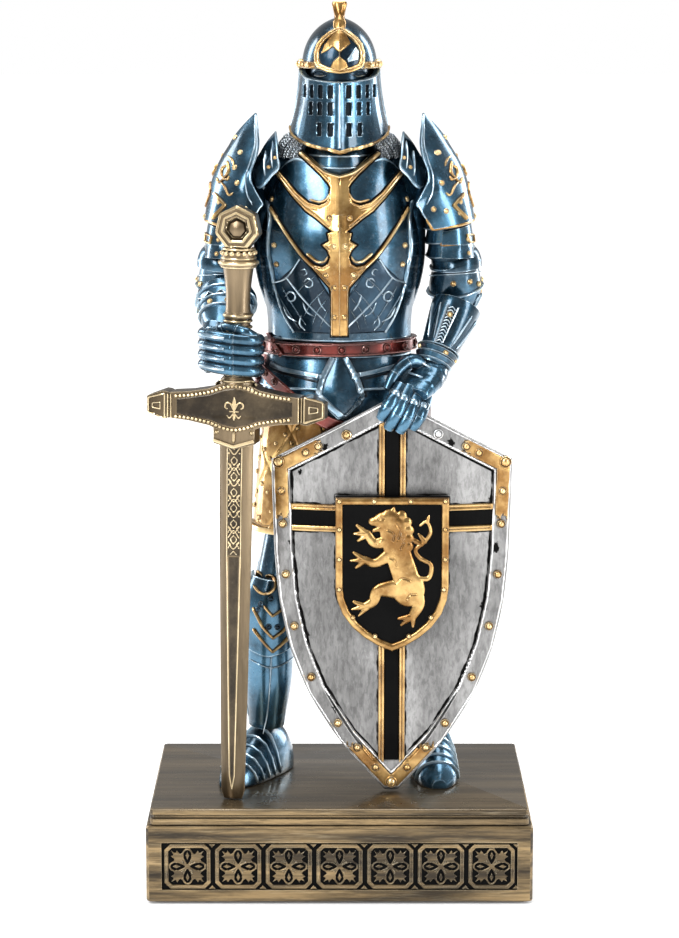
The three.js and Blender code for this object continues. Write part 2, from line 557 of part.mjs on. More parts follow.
/** The right hand: a closed fist round the grip, as level sections about the grip's axis. */
function fist(grow = 0) {
  const [gx, gy] = swordAxisAt(198.6);
  const sections = [[190.8 - grow, -1], [192.4, 0], [198.5, 0.3], [204.6, 0], [206.2 + grow, -1]];
  return solidOf(skin(sections.map(([z, bulge]) => Array.from({ length: 20 }, (_, i) => {
    const angle = radians(18 * i);
    const outward = Math.cos(angle) < 0 ? 13.4 : 8.4;
    const backward = Math.sin(angle) > 0 ? 9.6 : 8.4;
    const [rx, ry] = [outward + bulge + grow, backward + bulge + grow];
    return vector([gx + rx * Math.cos(angle), gy + ry * Math.sin(angle), z]);
  }))));
}

function arms() {
  add("upper_arm_right", limb(UPPER_ARM, 14), BLUE);
  add("upper_arm_left", limb(UPPER_ARM.map(([x, ...rest]) => [-x, ...rest]), 14), BLUE);
  const elbowLeft = ELBOW.map(([x, ...rest]) => [-x, ...rest]);
  add("couter_right", limb(ELBOW, 16), BLUE);
  add("couter_left", limb(elbowLeft, 16), BLUE);
  const right = solidOf(limb(FOREARM_RIGHT, 16, [0, 0, 1])).subtract(solidOf(limb(grown(ELBOW), 16)));
  add("vambrace_right", right.subtract(fist(GAP)), BLUE);
  add("vambrace_left", solidOf(limb(FOREARM_LEFT, 16)).subtract(solidOf(limb(grown(elbowLeft), 16))), BLUE);
  const [gripX, gripY] = swordAxisAt(198.6);
  add("hand_right", fist().subtract(solidOf(rod(5.6, 188, 209, gripX, gripY, 18))), BLUE);
  const palm = [
    [31.6, -17, 189, 5.6, 4.8], [29, -20.4, 187, 6.6, 4.8], [25.4, -25.6, 184.6, 7.6, 4.2],
    [22.6, -29.6, 180, 8, 3.4], [20.8, -30.6, 175, 7.6, 2.7], [19, -30.2, 169.6, 6, 2.2],
  ];
  const hand = solidOf(limb(palm, 14)).subtract(solidOf(limb(grown(FOREARM_LEFT), 16)));
  add("hand_left", hand.subtract(solidOf(shieldBody(GAP))), BLUE);
}

// ---- head ----
function head() {
  const dome = [[297.8, 13.6, 16.6], [300.4, 13.3, 16.4], [304, 12.6, 15.6], [308, 10.7, 13.4],
    [311.2, 7.9, 10], [313.4, 4.6, 6], [314.6, 1.4, 2]];
  add("helmet_skull", stack(dome.map(([z, rx, ry]) => [z, rx, ry, HEAD_Y]), 28), BLUE);
  const wrap = (span, start, top, bottom, reach, keel) => (share) => Array.from({ length: 9 }, (_, j) => {
    const t = j / 4 - 1;
    const angle = radians(start + span * t);
    const z = top(Math.abs(t)) + (bottom(Math.abs(t)) - top(Math.abs(t))) * share;
    const [rx, ry] = reach(share);
    const ridge = keel * Math.max(0, 1 - 3 * Math.abs(t)) * (0.6 + share);
    return [rx * Math.cos(angle), HEAD_Y + (ry + ridge) * Math.sin(angle), z];
  });
  const visor = wrap(96, -90, (t) => 292.6 + 4.6 * t ** 2, (t) => 269 + 7 * t ** 1.2,
    (s) => [13.5 + 0.6 * s + 3 * s ** 2, 17 + 0.4 * s + 3 * s ** 2], 1.3);
  const rows = (line) => [0, 0.25, 0.5, 0.75, 1].map(line);
  add("visor", plate(rows(visor), [0, HEAD_Y, 282], { nu: 6, nv: 20 }), BLUE);
  const tail = wrap(80, 90, () => 297.4, (t) => 271.5 + 4.5 * t,
    (s) => [13.5 + 0.6 * s + 3 * s ** 2, 16.6 - 0.5 * s + 3 * s ** 2], 0);
  add("helmet_neck_guard", plate(rows(tail), [0, HEAD_Y, 282], { nu: 6, nv: 12 }), BLUE);
  const brow = [
    [[-8.6, -18.2, 297.6], [-4.6, -20.6, 296.4], [0, -21.8, 295.4], [4.6, -20.6, 296.4], [8.6, -18.2, 297.6]],
    [[-8.8, -18, 301.5], [-4.6, -20.6, 301.5], [0, -21.7, 301.5], [4.6, -20.6, 301.5], [8.8, -18, 301.5]],
    [[-6.6, -18, 306], [-3.4, -19.5, 306.4], [0, -20.2, 306.6], [3.4, -19.5, 306.4], [6.6, -18, 306]],
    [[-1.2, -16.5, 310.8], [-0.6, -16.7, 311], [0, -16.8, 311], [0.6, -16.7, 311], [1.2, -16.5, 310.8]],
  ];
  add("brow_plate", plate(brow, [0, HEAD_Y, 300], { wall: 1, nu: 6, nv: 8 }), GOLD);
  const crest = [[0, -14.4, 311.9, 1.5, 1], [0, -13.6, 313.4, 1.4, 1.4], [0, -12, 315.4, 1.6, 1.4],
    [0, -11.2, 317.6, 2.4, 1.5], [0, -11.4, 319.6, 2.9, 1.5], [0, -11.7, 320.3, 2.4, 1.1]];
  add("crest_finial", limb(crest, 12), GOLD);
}

// ---- sword and pen, built upright about the origin and then set in place ----
const sword = new THREE.Group();
sword.rotation.set(0, radians(SWORD.leanDeg), radians(-SWORD.yawDeg), "YZX");
sword.position.set(SWORD.x, SWORD.y, 0);
const swordAxisAt = (z) => [SWORD.x + z * Math.tan(radians(SWORD.leanDeg)), SWORD.y];

/** A flat outline in the sword's own plane, [x, z] points, made thickness deep. */
function slabOf(outline, thickness) {
  const shape = new THREE.Shape(outline.map(([x, z]) => new THREE.Vector2(x, z)));
  return new THREE.ExtrudeGeometry(shape, { depth: thickness,
    bevelEnabled: false }).rotateX(Math.PI / 2).translate(0, thickness / 2, 0);
}

/** The socket that the pen's nose stands in, from the grip's mouth down into the blade. */
function socket() {
  const { radius, noseRadius, clearance: c, shoulder, tip, mouth } = PEN;
  return solidOf(turned([
    [0, tip - 2], [noseRadius + c, tip - 2], [noseRadius + c, shoulder - 5], [radius + c, shoulder + 1],
    [radius + c, mouth + 2], [0, mouth + 2],
  ], 0, 0, 16));
}

function blade() {
  const sections = [[SWORD.tip, 3.3, 0.9], [SWORD.tip + 3.2, 4.4, 1.5], [56, 4.8, 2.1], [100, 5.5, 2.7],
    [140, 6.1, 3.2], [171.6, 6.3, 3.3]];
  return skin(sections.map(([z, half, thick]) => {
    const outline = [[1, 0], [0.92, 0.22], [0.3, 1], [-0.3, 1], [-0.92, 0.22], [-1, 0], [-0.92, -0.22],
      [-0.3, -1], [0.3, -1], [0.92, -0.22]];
    return outline.map(([a, b]) => vector([a * half, b * thick, z]));
  }));
}

function swordParts() {
  add("blade", solidOf(blade()).subtract(socket()), BRASS, sword);
  const guardHalf = [[23.4, 4.6], [16.6, 5.2], [9.2, 6.6], [4.6, 8.6]];
  const guardLine = [...guardHalf.map(([x, h]) => [-x, h]), [0, 9.2],
    ...guardHalf.reverse().map(([x, h]) => [x, h])];
  const guard = [...guardLine.map(([x, h]) => [x, 179.2 + h]),
    ...guardLine.reverse().map(([x, h]) => [x, 179.2 - h])];
  const hex = [[187, 6.6, 5.2], [188.6, 6.2, 4.8], [190.2, 4.9, 4.6]];
  let crossguard = solidOf(slabOf(guard, 8.4)).add(solidOf(skin(hex.map(([z, rx, ry]) => level(z, rx, ry, 0,
    12, 0)))));
  crossguard = crossguard.subtract(solidOf(box(-6.7, 6.7, -3.7, 3.7, 160, 171.9)));
  for (const sign of [-1, 1]) {
    const end = [[23, 4.2, 3.6], [24.9, 4.9, 4.2], [26.4, 5, 4.3], [31.7, 3, 3], [32.3, 2.7, 2.7]];
    const loops = end.map(([x, h, t]) => [[-h, -t], [-h, t], [h, t],
      [h, -t]].map(([a, b]) => vector([sign * x, b, 179.2 + a])));
    crossguard = crossguard.add(solidOf(skin(loops)));
  }
  const collar = solidOf(slabOf([[-7.6, 176], [7.6, 176], [7.4, 166.4], [0, 164.4], [-7.4, 166.4]], 8.6));
  crossguard = crossguard.add(collar.subtract(solidOf(box(-6.7, 6.7, -3.7, 3.7, 160, 171.9))));
  add("crossguard", crossguard.subtract(socket()), BRASS, sword);
  const grip = turned([[0, 190.6], [5, 190.6], [5.2, 192], [4.3, 194.2], [4.5, 201], [4.3, 206],
    [4.6, 209.4], [4.6, 210.4], [0, 210.4]], 0, 0, 18);
  add("sword_grip", solidOf(grip).subtract(socket()), BRASS, sword);
}

function penParts() {
  const barrel = [[0, 210.7], [4.9, 210.7], [5.3, 211.4], [5.3, 212.2], [4.5, 213], [4.3, 217], [4.6, 223],
    [5.5, 229], [6.8, 229.4], [7, 230.6], [6.4, 231.6], [6, 232], [6, 234], [5.2, 234.8], [3.4, 235.2],
    [0, 235.2]];
  const bore = solidOf(rod(2.4, 205, 229.6, 0, 0, 12));
  add("pen_barrel", solidOf(turned(barrel, 0, 0, 24)).subtract(bore), BRASS, sword);
  const sides = Array.from({ length: 7 }, (_, i) => radians(90 + (360 / 7) * i));
  const heptagon = (r) => sides.map((a) => [r * Math.cos(a), 242.4 + r * Math.sin(a)]);
  const rings = [[-3.4, 7.2], [-2.4, 8.2], [2.4, 8.2], [3.4, 7.2]];
  const medal = skin(rings.map(([y, r]) => heptagon(r).map(([x, z]) => vector([x, y, z]))));
  const well = skin([[-4, 4.6], [-2, 4]].map(([y, r]) => heptagon(r).map(([x, z]) => vector([x, y, z]))));
  const stone = skin([[-3.6, 1.4], [-2.9, 3], [-1.8,
    3.4]].map(([y, r]) => heptagon(r).map(([x, z]) => vector([x, y, z]))));
  const pommel = solidOf(medal).subtract(solidOf(well)).add(solidOf(stone));
  add("pommel", pommel.subtract(solidOf(box(-9, 9, -9, 9, 230, 235.5))), BRASS, sword);
  const { radius, noseRadius, shoulder, tip, mouth } = PEN;
  const nose = turned([
    [0, tip + 4], [noseRadius - 0.2, tip + 4], [noseRadius, tip + 8], [noseRadius, shoulder - 5],
      [radius, shoulder + 1],
    [radius, mouth], [2.1, mouth], [2.1, 229], [0, 229],
  ], 0, 0, 16);
  const refillBore = solidOf(rod(REFILL.radius + 0.25, 150, 228, 0, 0, 12));
  add("pen_nose", solidOf(nose).subtract(refillBore), STEEL, sword);
  const top = tip + REFILL.length;
  const refill = [[0, tip], [0.35, tip], [0.8, tip + 3.5], [REFILL.radius, tip + 8], [REFILL.radius, top],
    [0, top]];
  add("ink_refill", turned(refill, 0, 0, 10), STEEL, sword);
}

// ---- shield ----
/** The shield's half width at a height above its tip, a straight-sided heater drawn in to a point. */
const SHIELD_SIDE = [[0, 2.2], [18, 19], [36, 30.6], [52, 37], [70, 41], [88, 42.6], [122.6, 43.6]];
const SHIELD_TOP = 146.4; // peak above the tip
const CORNER_DROP = 23.8; // how far the corners lie below the peak
function halfWidth(height) {
  const i = Math.min(SHIELD_SIDE.length - 2, SHIELD_SIDE.findIndex(([h],
    k) => height <= (SHIELD_SIDE[k + 1] ?? [1e9])[0]));
  const [[h0, w0], [h1, w1]] = [SHIELD_SIDE[i], SHIELD_SIDE[i + 1]];
  return w0 + ((w1 - w0) * (height - h0)) / (h1 - h0);
}

/** A point of the shield: u across from -1 to 1, v down from 0 to 1, drawn in by margin, raised by lift. */
function shieldPoint(u, v, margin, lift) {
  const edge = (SHIELD_TOP - CORNER_DROP) * (1 - v);
  const drop = CORNER_DROP * (1 - v) ** 0.8;
  const height = edge + drop * (1 - Math.abs(u));
  const [low, high] = [margin * 1.9, SHIELD_TOP - CORNER_DROP - margin * 1.15];
  const side = low + (high - low) * (edge / (SHIELD_TOP - CORNER_DROP));
  const across = u * Math.max(0.2, halfWidth(side) - margin * 1.04);
  const up = low + (SHIELD_TOP - margin * 1.15 - low) * (height / SHIELD_TOP);
  return onShield(across, up, lift);
}

function onShield(across, up, lift) {
  const y = SHIELD.y - SHIELD.lean * up + across ** 2 / (2 * SHIELD.bend) - lift;
  return vector([SHIELD.x + across, y, SHIELD.tip + up]);
}

/** The whole shield as one body, grown by a clearance all round. */
function shieldBody(by) {
  const face = (lift) => (u, v) => shieldPoint(2 * u - 1, v, -by, lift);
  return between(12, 14, face(SHIELD.rimProud + 0.1 + by), face(-SHIELD.board - by));
}

/** A bar on the shield's face between two corners [across, up]. */
function bar([x0, z0], [x1, z1], lift, thickness, n) {
  const face = (depth) => (u, v) => onShield(x0 + (x1 - x0) * u, z0 + (z1 - z0) * v, depth);
  return between(n, 1, face(lift), face(lift - thickness));
}

const ESCUTCHEON = { half: 20.4, top: 110, sides: 76, bottom: 53, front: 3.4 };
/** The small shield's half width below its straight sides, as [share of the way down, share of the half width]. */
const ESCUTCHEON_CURVE = [
  [0, 1], [0.2, 0.965], [0.4, 0.86], [0.6, 0.69], [0.78, 0.47], [0.92, 0.22], [1, 0.06],
];
function escutcheonHalf(v) {
  const up = ESCUTCHEON.top - (ESCUTCHEON.top - ESCUTCHEON.bottom) * v;
  if (up >= ESCUTCHEON.sides) return ESCUTCHEON.half;
  const t = (ESCUTCHEON.sides - up) / (ESCUTCHEON.sides - ESCUTCHEON.bottom);
  const next = Math.max(1, ESCUTCHEON_CURVE.findIndex(([share]) => share >= t));
  const [[t0, w0], [t1, w1]] = [ESCUTCHEON_CURVE[next - 1], ESCUTCHEON_CURVE[next]];
  return ESCUTCHEON.half * (w0 + ((w1 - w0) * (t - t0)) / (t1 - t0));
}

/** A heraldic beast rearing up to the viewer's left, as [x, z] in a box 30 wide and 42 high about its middle. */
const BEAST = [
  [-5.4, 19.6], [-1.6, 21], [2.6, 20.2], [5.4, 17.4], [6.6, 13], [6.2, 8.4], [4.6, 4.4], [5.6, 0.6],
    [7.6, -3], [9.4, -4.4],
  [11.2, -3.2], [11.4, -0.6], [9.6, 1.2], [8, 3.2], [8.4, 5.8], [10.8, 7.2], [12.8, 9.4], [13.2, 13],
    [12, 15.6],
  [13.8, 15], [15, 11.6], [14.6, 8], [12.4, 5.6], [10.2, 4.6], [10.6, 3], [12.8, 1], [13.4, -2.2],
    [12.2, -5.2], [9.6, -6.6],
  [7.2, -6.2], [8.2, -8.6], [7, -11], [8.6, -14], [7.8, -17.2], [8.4, -20], [6, -21], [4.6, -19.6],
    [2.4, -20.4], [2.2, -18.4],
  [4.4, -16.8], [4.8, -14], [2.6, -11.4], [-1, -10.2], [-4, -9], [-6.6, -10.2], [-7.4, -13.2],
    [-9.4, -14.6], [-12.4, -13.6],
  [-13.8, -11.2], [-12.2, -10.8], [-11.6, -9.2], [-9.8, -9.8], [-9.2, -7.4], [-6.8, -4.2], [-4, -3.4],
    [-5.6, -0.8], [-7.2, 2],
  [-10.4, 1], [-13.8, 1.2], [-15, 3], [-12.8, 3.8], [-13.8, 5.6], [-10.6, 5.4], [-8.2, 6.4], [-9.8, 8.6],
    [-13.6, 10.2],
  [-14.6, 12.8], [-12.4, 12.6], [-12.6, 15], [-10, 13.8], [-6.6, 10.8], [-5.6, 13.4], [-7.8, 14.6],
    [-7.4, 16.6],
];

function shield() {
  const { board, rimWidth, rimProud } = SHIELD;
  const signed = (u) => 2 * u - 1;
  add("shield_board", between(12, 14, (u, v) => shieldPoint(signed(u), v, 0.6, 0),
    (u, v) => shieldPoint(signed(u), v, 0.6, -board)), SILVER);
  const outer = (lift, margin) => {
    const loop = [];
    for (let i = 0; i < 12; i++) loop.push(shieldPoint(-1 + i / 6, 0, margin, lift));
    for (let i = 0; i < 14; i++) loop.push(shieldPoint(1, i / 14, margin, lift));
    for (let i = 0; i < 2; i++) loop.push(shieldPoint(1 - i, 1, margin, lift));
    for (let i = 0; i < 14; i++) loop.push(shieldPoint(-1, 1 - i / 14, margin, lift));
    return loop;
  };
  const rim = [outer(GAP / 2, 0), outer(rimProud, 0.2), outer(rimProud + 0.1, rimWidth - 0.4),
    outer(GAP / 2, rimWidth)];
  add("shield_rim", skin(rim, true), SILVER);
  const arm = 4.9;
  const [level0, level1] = [96.2, 106];
  const inside = 35.9;
  const post = solidOf(bar([-arm, 17], [arm, 135.4], 0.75, 0.6, 2));
  const beam = solidOf(bar([-inside, level0], [inside, level1], 0.75, 0.6, 14));
  add("shield_cross", post.add(beam), BLACK);
  const { top, bottom, front } = ESCUTCHEON;
  const small = (depth) => (u, v) => {
    const [across, up] = [signed(u) * escutcheonHalf(v), top - (top - bottom) * v];
    const point = onShield(across, up, 0.95);
    return depth ? vector([point.x, SHIELD.y - SHIELD.lean * up - front, point.z]) : point;
  };
  add("escutcheon", between(8, 16, small(true), small(false)), BLACK);
  const beast = new THREE.Shape(BEAST.map(([x, z]) => new THREE.Vector2(SHIELD.x + x,
    SHIELD.tip + 84.5 + z)));
  const relief = new THREE.ExtrudeGeometry(beast, { depth: 0.7, bevelEnabled: false });
  relief.rotateX(Math.PI / 2).translate(0, 0, -SHIELD.tip).rotateX(SHIELD.lean).translate(0,
    SHIELD.y - front - 0.2, SHIELD.tip);
  add("heraldic_beast", relief, GOLD);
}

plinth();
legs();
hips();
belts();
trunk();
neck();
shoulders();
arms();
head();
root.add(sword);
swordParts();
penParts();
shield();

export default root;
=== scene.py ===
"""Looks for an armoured knight statuette on a plinth, with a heater shield and a sword whose hilt is a pen.

Every length in the helpers is in millimetres in the row frame: +Z up, the knight faces -Y. Pieces take
their places from the boxes of the CAD nodes. "right" and "left" are the knight's own, so right is -X.
"""
import json
import math

import bmesh
import bpy
import numpy as np
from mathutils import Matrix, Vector
from mathutils.bvhtree import BVHTree


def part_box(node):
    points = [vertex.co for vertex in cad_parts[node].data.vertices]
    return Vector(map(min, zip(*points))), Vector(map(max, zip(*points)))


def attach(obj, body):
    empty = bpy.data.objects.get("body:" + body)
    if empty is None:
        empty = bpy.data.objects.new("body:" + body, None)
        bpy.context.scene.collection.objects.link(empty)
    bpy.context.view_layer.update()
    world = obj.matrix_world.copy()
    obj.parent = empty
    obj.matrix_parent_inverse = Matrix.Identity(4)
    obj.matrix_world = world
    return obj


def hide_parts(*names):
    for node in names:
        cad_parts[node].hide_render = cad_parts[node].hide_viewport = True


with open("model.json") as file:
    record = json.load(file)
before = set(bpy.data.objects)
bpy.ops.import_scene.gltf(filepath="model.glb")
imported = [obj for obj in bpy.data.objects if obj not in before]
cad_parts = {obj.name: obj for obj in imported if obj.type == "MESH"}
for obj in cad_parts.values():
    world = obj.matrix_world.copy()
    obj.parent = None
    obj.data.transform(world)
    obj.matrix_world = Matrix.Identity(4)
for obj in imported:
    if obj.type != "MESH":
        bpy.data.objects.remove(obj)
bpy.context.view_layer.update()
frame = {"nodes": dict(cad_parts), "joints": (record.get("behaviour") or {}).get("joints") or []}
MM = 1000.0
SIDES = (("right", -1), ("left", 1))


def box(node):
    """Lowest and highest corner of a CAD node, in millimetres."""
    low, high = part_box(node)
    return np.array(low) * MM, np.array(high) * MM


# ---------------------------------------------------------------- materials


class Graph:
    """A small helper for building a node material."""

    def __init__(self, name):
        self.material = bpy.data.materials.new(name)
        self.material.use_nodes = True
        self.nodes = self.material.node_tree.nodes
        self.links = self.material.node_tree.links
        self.shader = self.nodes["Principled BSDF"]
        self.place = self.nodes.new("ShaderNodeTexCoord").outputs["Object"]

    def new(self, kind, values=(), **settings):
        node = self.nodes.new("ShaderNode" + kind)
        for key, value in settings.items():
            setattr(node, key, value)
        for socket, value in dict(values).items():
            self.put(value, node.inputs[socket])
        return node

    def put(self, value, socket):
        if isinstance(value, bpy.types.NodeSocket):
            self.links.new(value, socket)
        elif socket.type == "RGBA":
            socket.default_value = (*value, 1.0)
        else:
            socket.default_value = value

    def noise(self, scale, detail=4.0, rough=0.6, stretch=(1, 1, 1), distortion=0.0):
        place = self.new("Mapping", {"Vector": self.place, "Scale": stretch}).outputs[0]
        values = {"Vector": place, "Scale": scale, "Detail": detail, "Roughness": rough, "Distortion": distortion}
        return self.new("TexNoise", values).outputs["Fac"]

    def ramp(self, value, low, high):
        values = {"Value": value, "From Min": low, "From Max": high}
        return self.new("MapRange", values, interpolation_type="SMOOTHSTEP").outputs[0]

    def times(self, a, b):
        return self.new("Math", {0: a, 1: b}, operation="MULTIPLY", use_clamp=True).outputs[0]

    def rest(self, value):
        """What is missing to 1."""
        return self.new("Math", {0: 1.0, 1: value}, operation="SUBTRACT").outputs[0]

    def mix(self, share, a, b):
        return self.new("Mix", {0: share, 6: a, 7: b}, data_type="RGBA").outputs[2]

    def edge(self, radius):
        """1 along sharp edges, 0 elsewhere."""
        rounded = self.new("Bevel", {"Radius": radius / MM}, samples=4).outputs[0]
        plain = self.new("NewGeometry").outputs["Normal"]
        dot = self.new("VectorMath", {0: rounded, 1: plain}, operation="DOT_PRODUCT").outputs["Value"]
        return self.ramp(self.rest(dot), 0.02, 0.25)

    def crevice_shade(self, distance):
        """1 in corners and grooves, where ambient occlusion finds shade, 0 on open faces: a mask for painted shade.
        """
        open_share = self.new("AmbientOcclusion", {"Distance": distance / MM}, samples=6).outputs["AO"]
        return self.ramp(self.rest(open_share), 0.15, 0.65)

    def bump(self, height, strength, distance):
        node = self.new("Bump", {"Height": height, "Strength": strength, "Distance": distance / MM})
        self.put(node.outputs[0], self.shader.inputs["Normal"])

    def finish(self, color, roughness, metallic, coat=0.0):
        values = {"Base Color": color, "Roughness": roughness, "Metallic": metallic, "Coat Weight": coat,
                  "Coat Roughness": 0.1}
        for socket, value in values.items():
            self.put(value, self.shader.inputs[socket])
        return self.material


def painted(name, deep, main, pale, roughness=0.3, metallic=0.9, wash=(0.005, 0.008, 0.012), wear=0.7, wash_and_shade=0.85,
            cloud=55.0, grain=(1, 1, 1), coat=0.25, reach=2.2, streak=0.0, speckle=0.08):
    """Metallic paint: two tones in clouds, a pale worn edge, and a dark tone in corners and grooves that is partly a
    real dark wash and partly painted shade from ambient occlusion.
    """
    g = Graph(name)
    clouds = g.ramp(g.noise(cloud, 5.0, 0.62, grain), 0.36, 0.66)
    color = g.mix(clouds, deep, main)
    fine = g.noise(700.0, 6.0, 0.7, grain)
    color = g.mix(g.times(g.ramp(fine, 0.5, 0.8), speckle), color, pale)
    if streak:
        brushed = g.ramp(g.noise(420.0, 8.0, 0.75, grain, 0.4), 0.42, 0.62)
        color = g.mix(g.times(brushed, streak), color, wash)
    worn = g.times(g.edge(0.55), g.ramp(g.noise(260.0, 4.0), 0.2, 0.5))
    color = g.mix(g.times(worn, wear), color, pale)
    # Painted shade, partly a real dark wash: corners and grooves that ambient occlusion finds shaded darken towards
    # the wash colour.
    dark = g.times(g.crevice_shade(reach), g.ramp(g.noise(180.0, 5.0), 0.15, 0.5))
    color = g.mix(g.times(dark, wash_and_shade), color, wash)
    rough = g.mix(g.noise(140.0, 5.0), (roughness * 0.75,) * 3, (roughness * 1.45,) * 3)
    rough = g.mix(dark, rough, (0.6,) * 3)
    g.bump(g.mix(0.5, g.noise(1500.0, 3.0, 0.6, grain), g.noise(300.0, 2.0, 0.5, grain)), 0.18, 0.08)
    return g.finish(color, rough, metallic, coat)


BLUE = painted("armour_blue", (0.006, 0.028, 0.048), (0.055, 0.150, 0.235), (0.62, 0.78, 0.88), 0.24, 0.92, coat=0.6,
               cloud=42, reach=4.5, wash_and_shade=0.9, speckle=0.12)
BLUE_DARK = painted("armour_blue_dark", (0.004, 0.014, 0.026), (0.016, 0.045, 0.075), (0.42, 0.58, 0.70), 0.28, 0.92,
                    coat=0.3)
PALE = painted("worn_edge_blue", (0.16, 0.27, 0.36), (0.48, 0.61, 0.70), (0.9, 0.95, 0.97), 0.28, 0.88, wash_and_shade=0.7,
               reach=1.0, cloud=120)
GOLD = painted("antique_gold", (0.20, 0.095, 0.022), (0.60, 0.385, 0.145), (1.0, 0.86, 0.58), 0.27, 0.94,
               (0.03, 0.011, 0.003), reach=1.8, cloud=75)
GOLD_PALE = painted("worn_edge_gold", (0.50, 0.30, 0.10), (0.84, 0.63, 0.33), (1.0, 0.9, 0.66), 0.28, 0.9,
                    (0.06, 0.025, 0.008), reach=0.8, wash_and_shade=0.6)
BRASS = painted("antique_brass", (0.075, 0.054, 0.030), (0.205, 0.150, 0.088), (0.66, 0.54, 0.36), 0.34, 0.95,
                (0.010, 0.007, 0.004), cloud=40, grain=(1, 1, 0.12), streak=0.18)
BRASS_PALE = painted("worn_edge_brass", (0.40, 0.30, 0.16), (0.66, 0.52, 0.31), (0.9, 0.8, 0.58), 0.3, 0.92,
                     (0.016, 0.011, 0.006), reach=0.9)
BRASS_DARK = painted("brass_ground", (0.018, 0.013, 0.008), (0.075, 0.055, 0.032), (0.4, 0.32, 0.2), 0.4, 0.9,
                     wear=0.3)
BRONZE, BRONZE_SIDE = (
    painted(name, (0.040, 0.028, 0.015), (0.34, 0.235, 0.112), (0.76, 0.64, 0.43), 0.40, 0.8, (0.010, 0.008, 0.006),
            cloud=150, grain=grain, streak=0.6, reach=2.4, speckle=0.25)
    for name, grain in (("plinth_bronze", (0.07, 1, 1)), ("plinth_bronze_side", (1, 0.07, 1))))
BRONZE_TOP = painted("plinth_top_bronze", (0.080, 0.060, 0.036), (0.20, 0.148, 0.086), (0.58, 0.48, 0.32), 0.26, 0.75,
                     (0.03, 0.022, 0.014), cloud=90, grain=(0.05, 1, 1), streak=0.35, reach=1.5, wash_and_shade=0.5)
SILVER = painted("shield_silver", (0.15, 0.148, 0.146), (0.36, 0.357, 0.353), (0.86, 0.86, 0.85), 0.36, 0.82,
                 (0.006, 0.006, 0.006), cloud=24, streak=0.38, grain=(1.5, 1, 0.5), reach=7.0, speckle=0.12)
SILVER_PALE = painted("worn_edge_silver", (0.55, 0.55, 0.55), (0.80, 0.80, 0.80), (0.95, 0.95, 0.95), 0.28, 0.9,
                      wash_and_shade=0.7, reach=0.8)
RED = painted("belt_red", (0.050, 0.007, 0.005), (0.185, 0.026, 0.018), (0.80, 0.48, 0.42), 0.27, 0.75,
              (0.008, 0.002, 0.002), reach=1.4, coat=0.4, wear=0.5)
MAIL = painted("mail_steel", (0.10, 0.13, 0.16), (0.36, 0.43, 0.49), (0.88, 0.92, 0.95), 0.3, 0.95,
               (0.003, 0.004, 0.005), reach=1.2)
MAIL_DARK = painted("mail_ground", (0.004, 0.007, 0.010), (0.012, 0.02, 0.028), (0.10, 0.14, 0.17), 0.5, 0.8,
                    wear=0.2)
BLACK = painted("black_enamel", (0.001, 0.001, 0.001), (0.002, 0.002, 0.002), (0.03, 0.027, 0.02), 0.55, 0.0,
                (0.001, 0.001, 0.001), wear=0.2, coat=0.0, speckle=0.02)
BLACK.node_tree.nodes["Principled BSDF"].inputs["Specular IOR Level"].default_value = 0.06
# Near black for insides: painted shade under the visor slots and on the body core where it shows between the parts.
INSIDE = painted("inside_painted_shade", (0.002, 0.003, 0.004), (0.004, 0.008, 0.012), (0.02, 0.03, 0.04), 0.5, 0.8, wear=0.1,
                 coat=0.0)
FELT = painted("black_felt", (0.006, 0.006, 0.006), (0.014, 0.014, 0.014), (0.03, 0.03, 0.03), 0.95, 0.0, wear=0.0,
               coat=0.0)
STEEL = painted("turned_steel", (0.42, 0.42, 0.43), (0.58, 0.58, 0.6), (0.85, 0.85, 0.85), 0.2, 1.0,
                grain=(1, 1, 0.1), coat=0.0)

# ---------------------------------------------------------------- meshes


def make(name, points, faces, material, body="figure", replaces=(), slot=None, sharp=38.0):
    """A mesh piece from points in millimetres, riding on a body."""
    mesh = bpy.data.meshes.new(name)
    mesh.from_pydata((np.asarray(points, float) / MM).tolist(), [], [list(map(int, f)) for f in faces])
    mesh.validate()
    bm = bmesh.new()
    bm.from_mesh(mesh)
    bmesh.ops.recalc_face_normals(bm, faces=bm.faces)
    bm.to_mesh(mesh)
    bm.free()
    mesh.shade_smooth()
    mesh.set_sharp_from_angle(angle=math.radians(sharp))
    piece = bpy.data.objects.new(name, mesh)
    bpy.context.scene.collection.objects.link(piece)
    mesh.materials.append(material)
    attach(piece, body)
    if replaces:
        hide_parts(*replaces)
    return piece


def clean_mesh(node):
    """The CAD node as a bmesh in millimetres with joined vertices and quads where it has them."""
    bm = bmesh.new()
    bm.from_mesh(frame["nodes"][node].data)
    bmesh.ops.remove_doubles(bm, verts=bm.verts, dist=2e-6)
    bmesh.ops.scale(bm, vec=(MM, MM, MM), verts=bm.verts)
    bm.normal_update()
    return bm


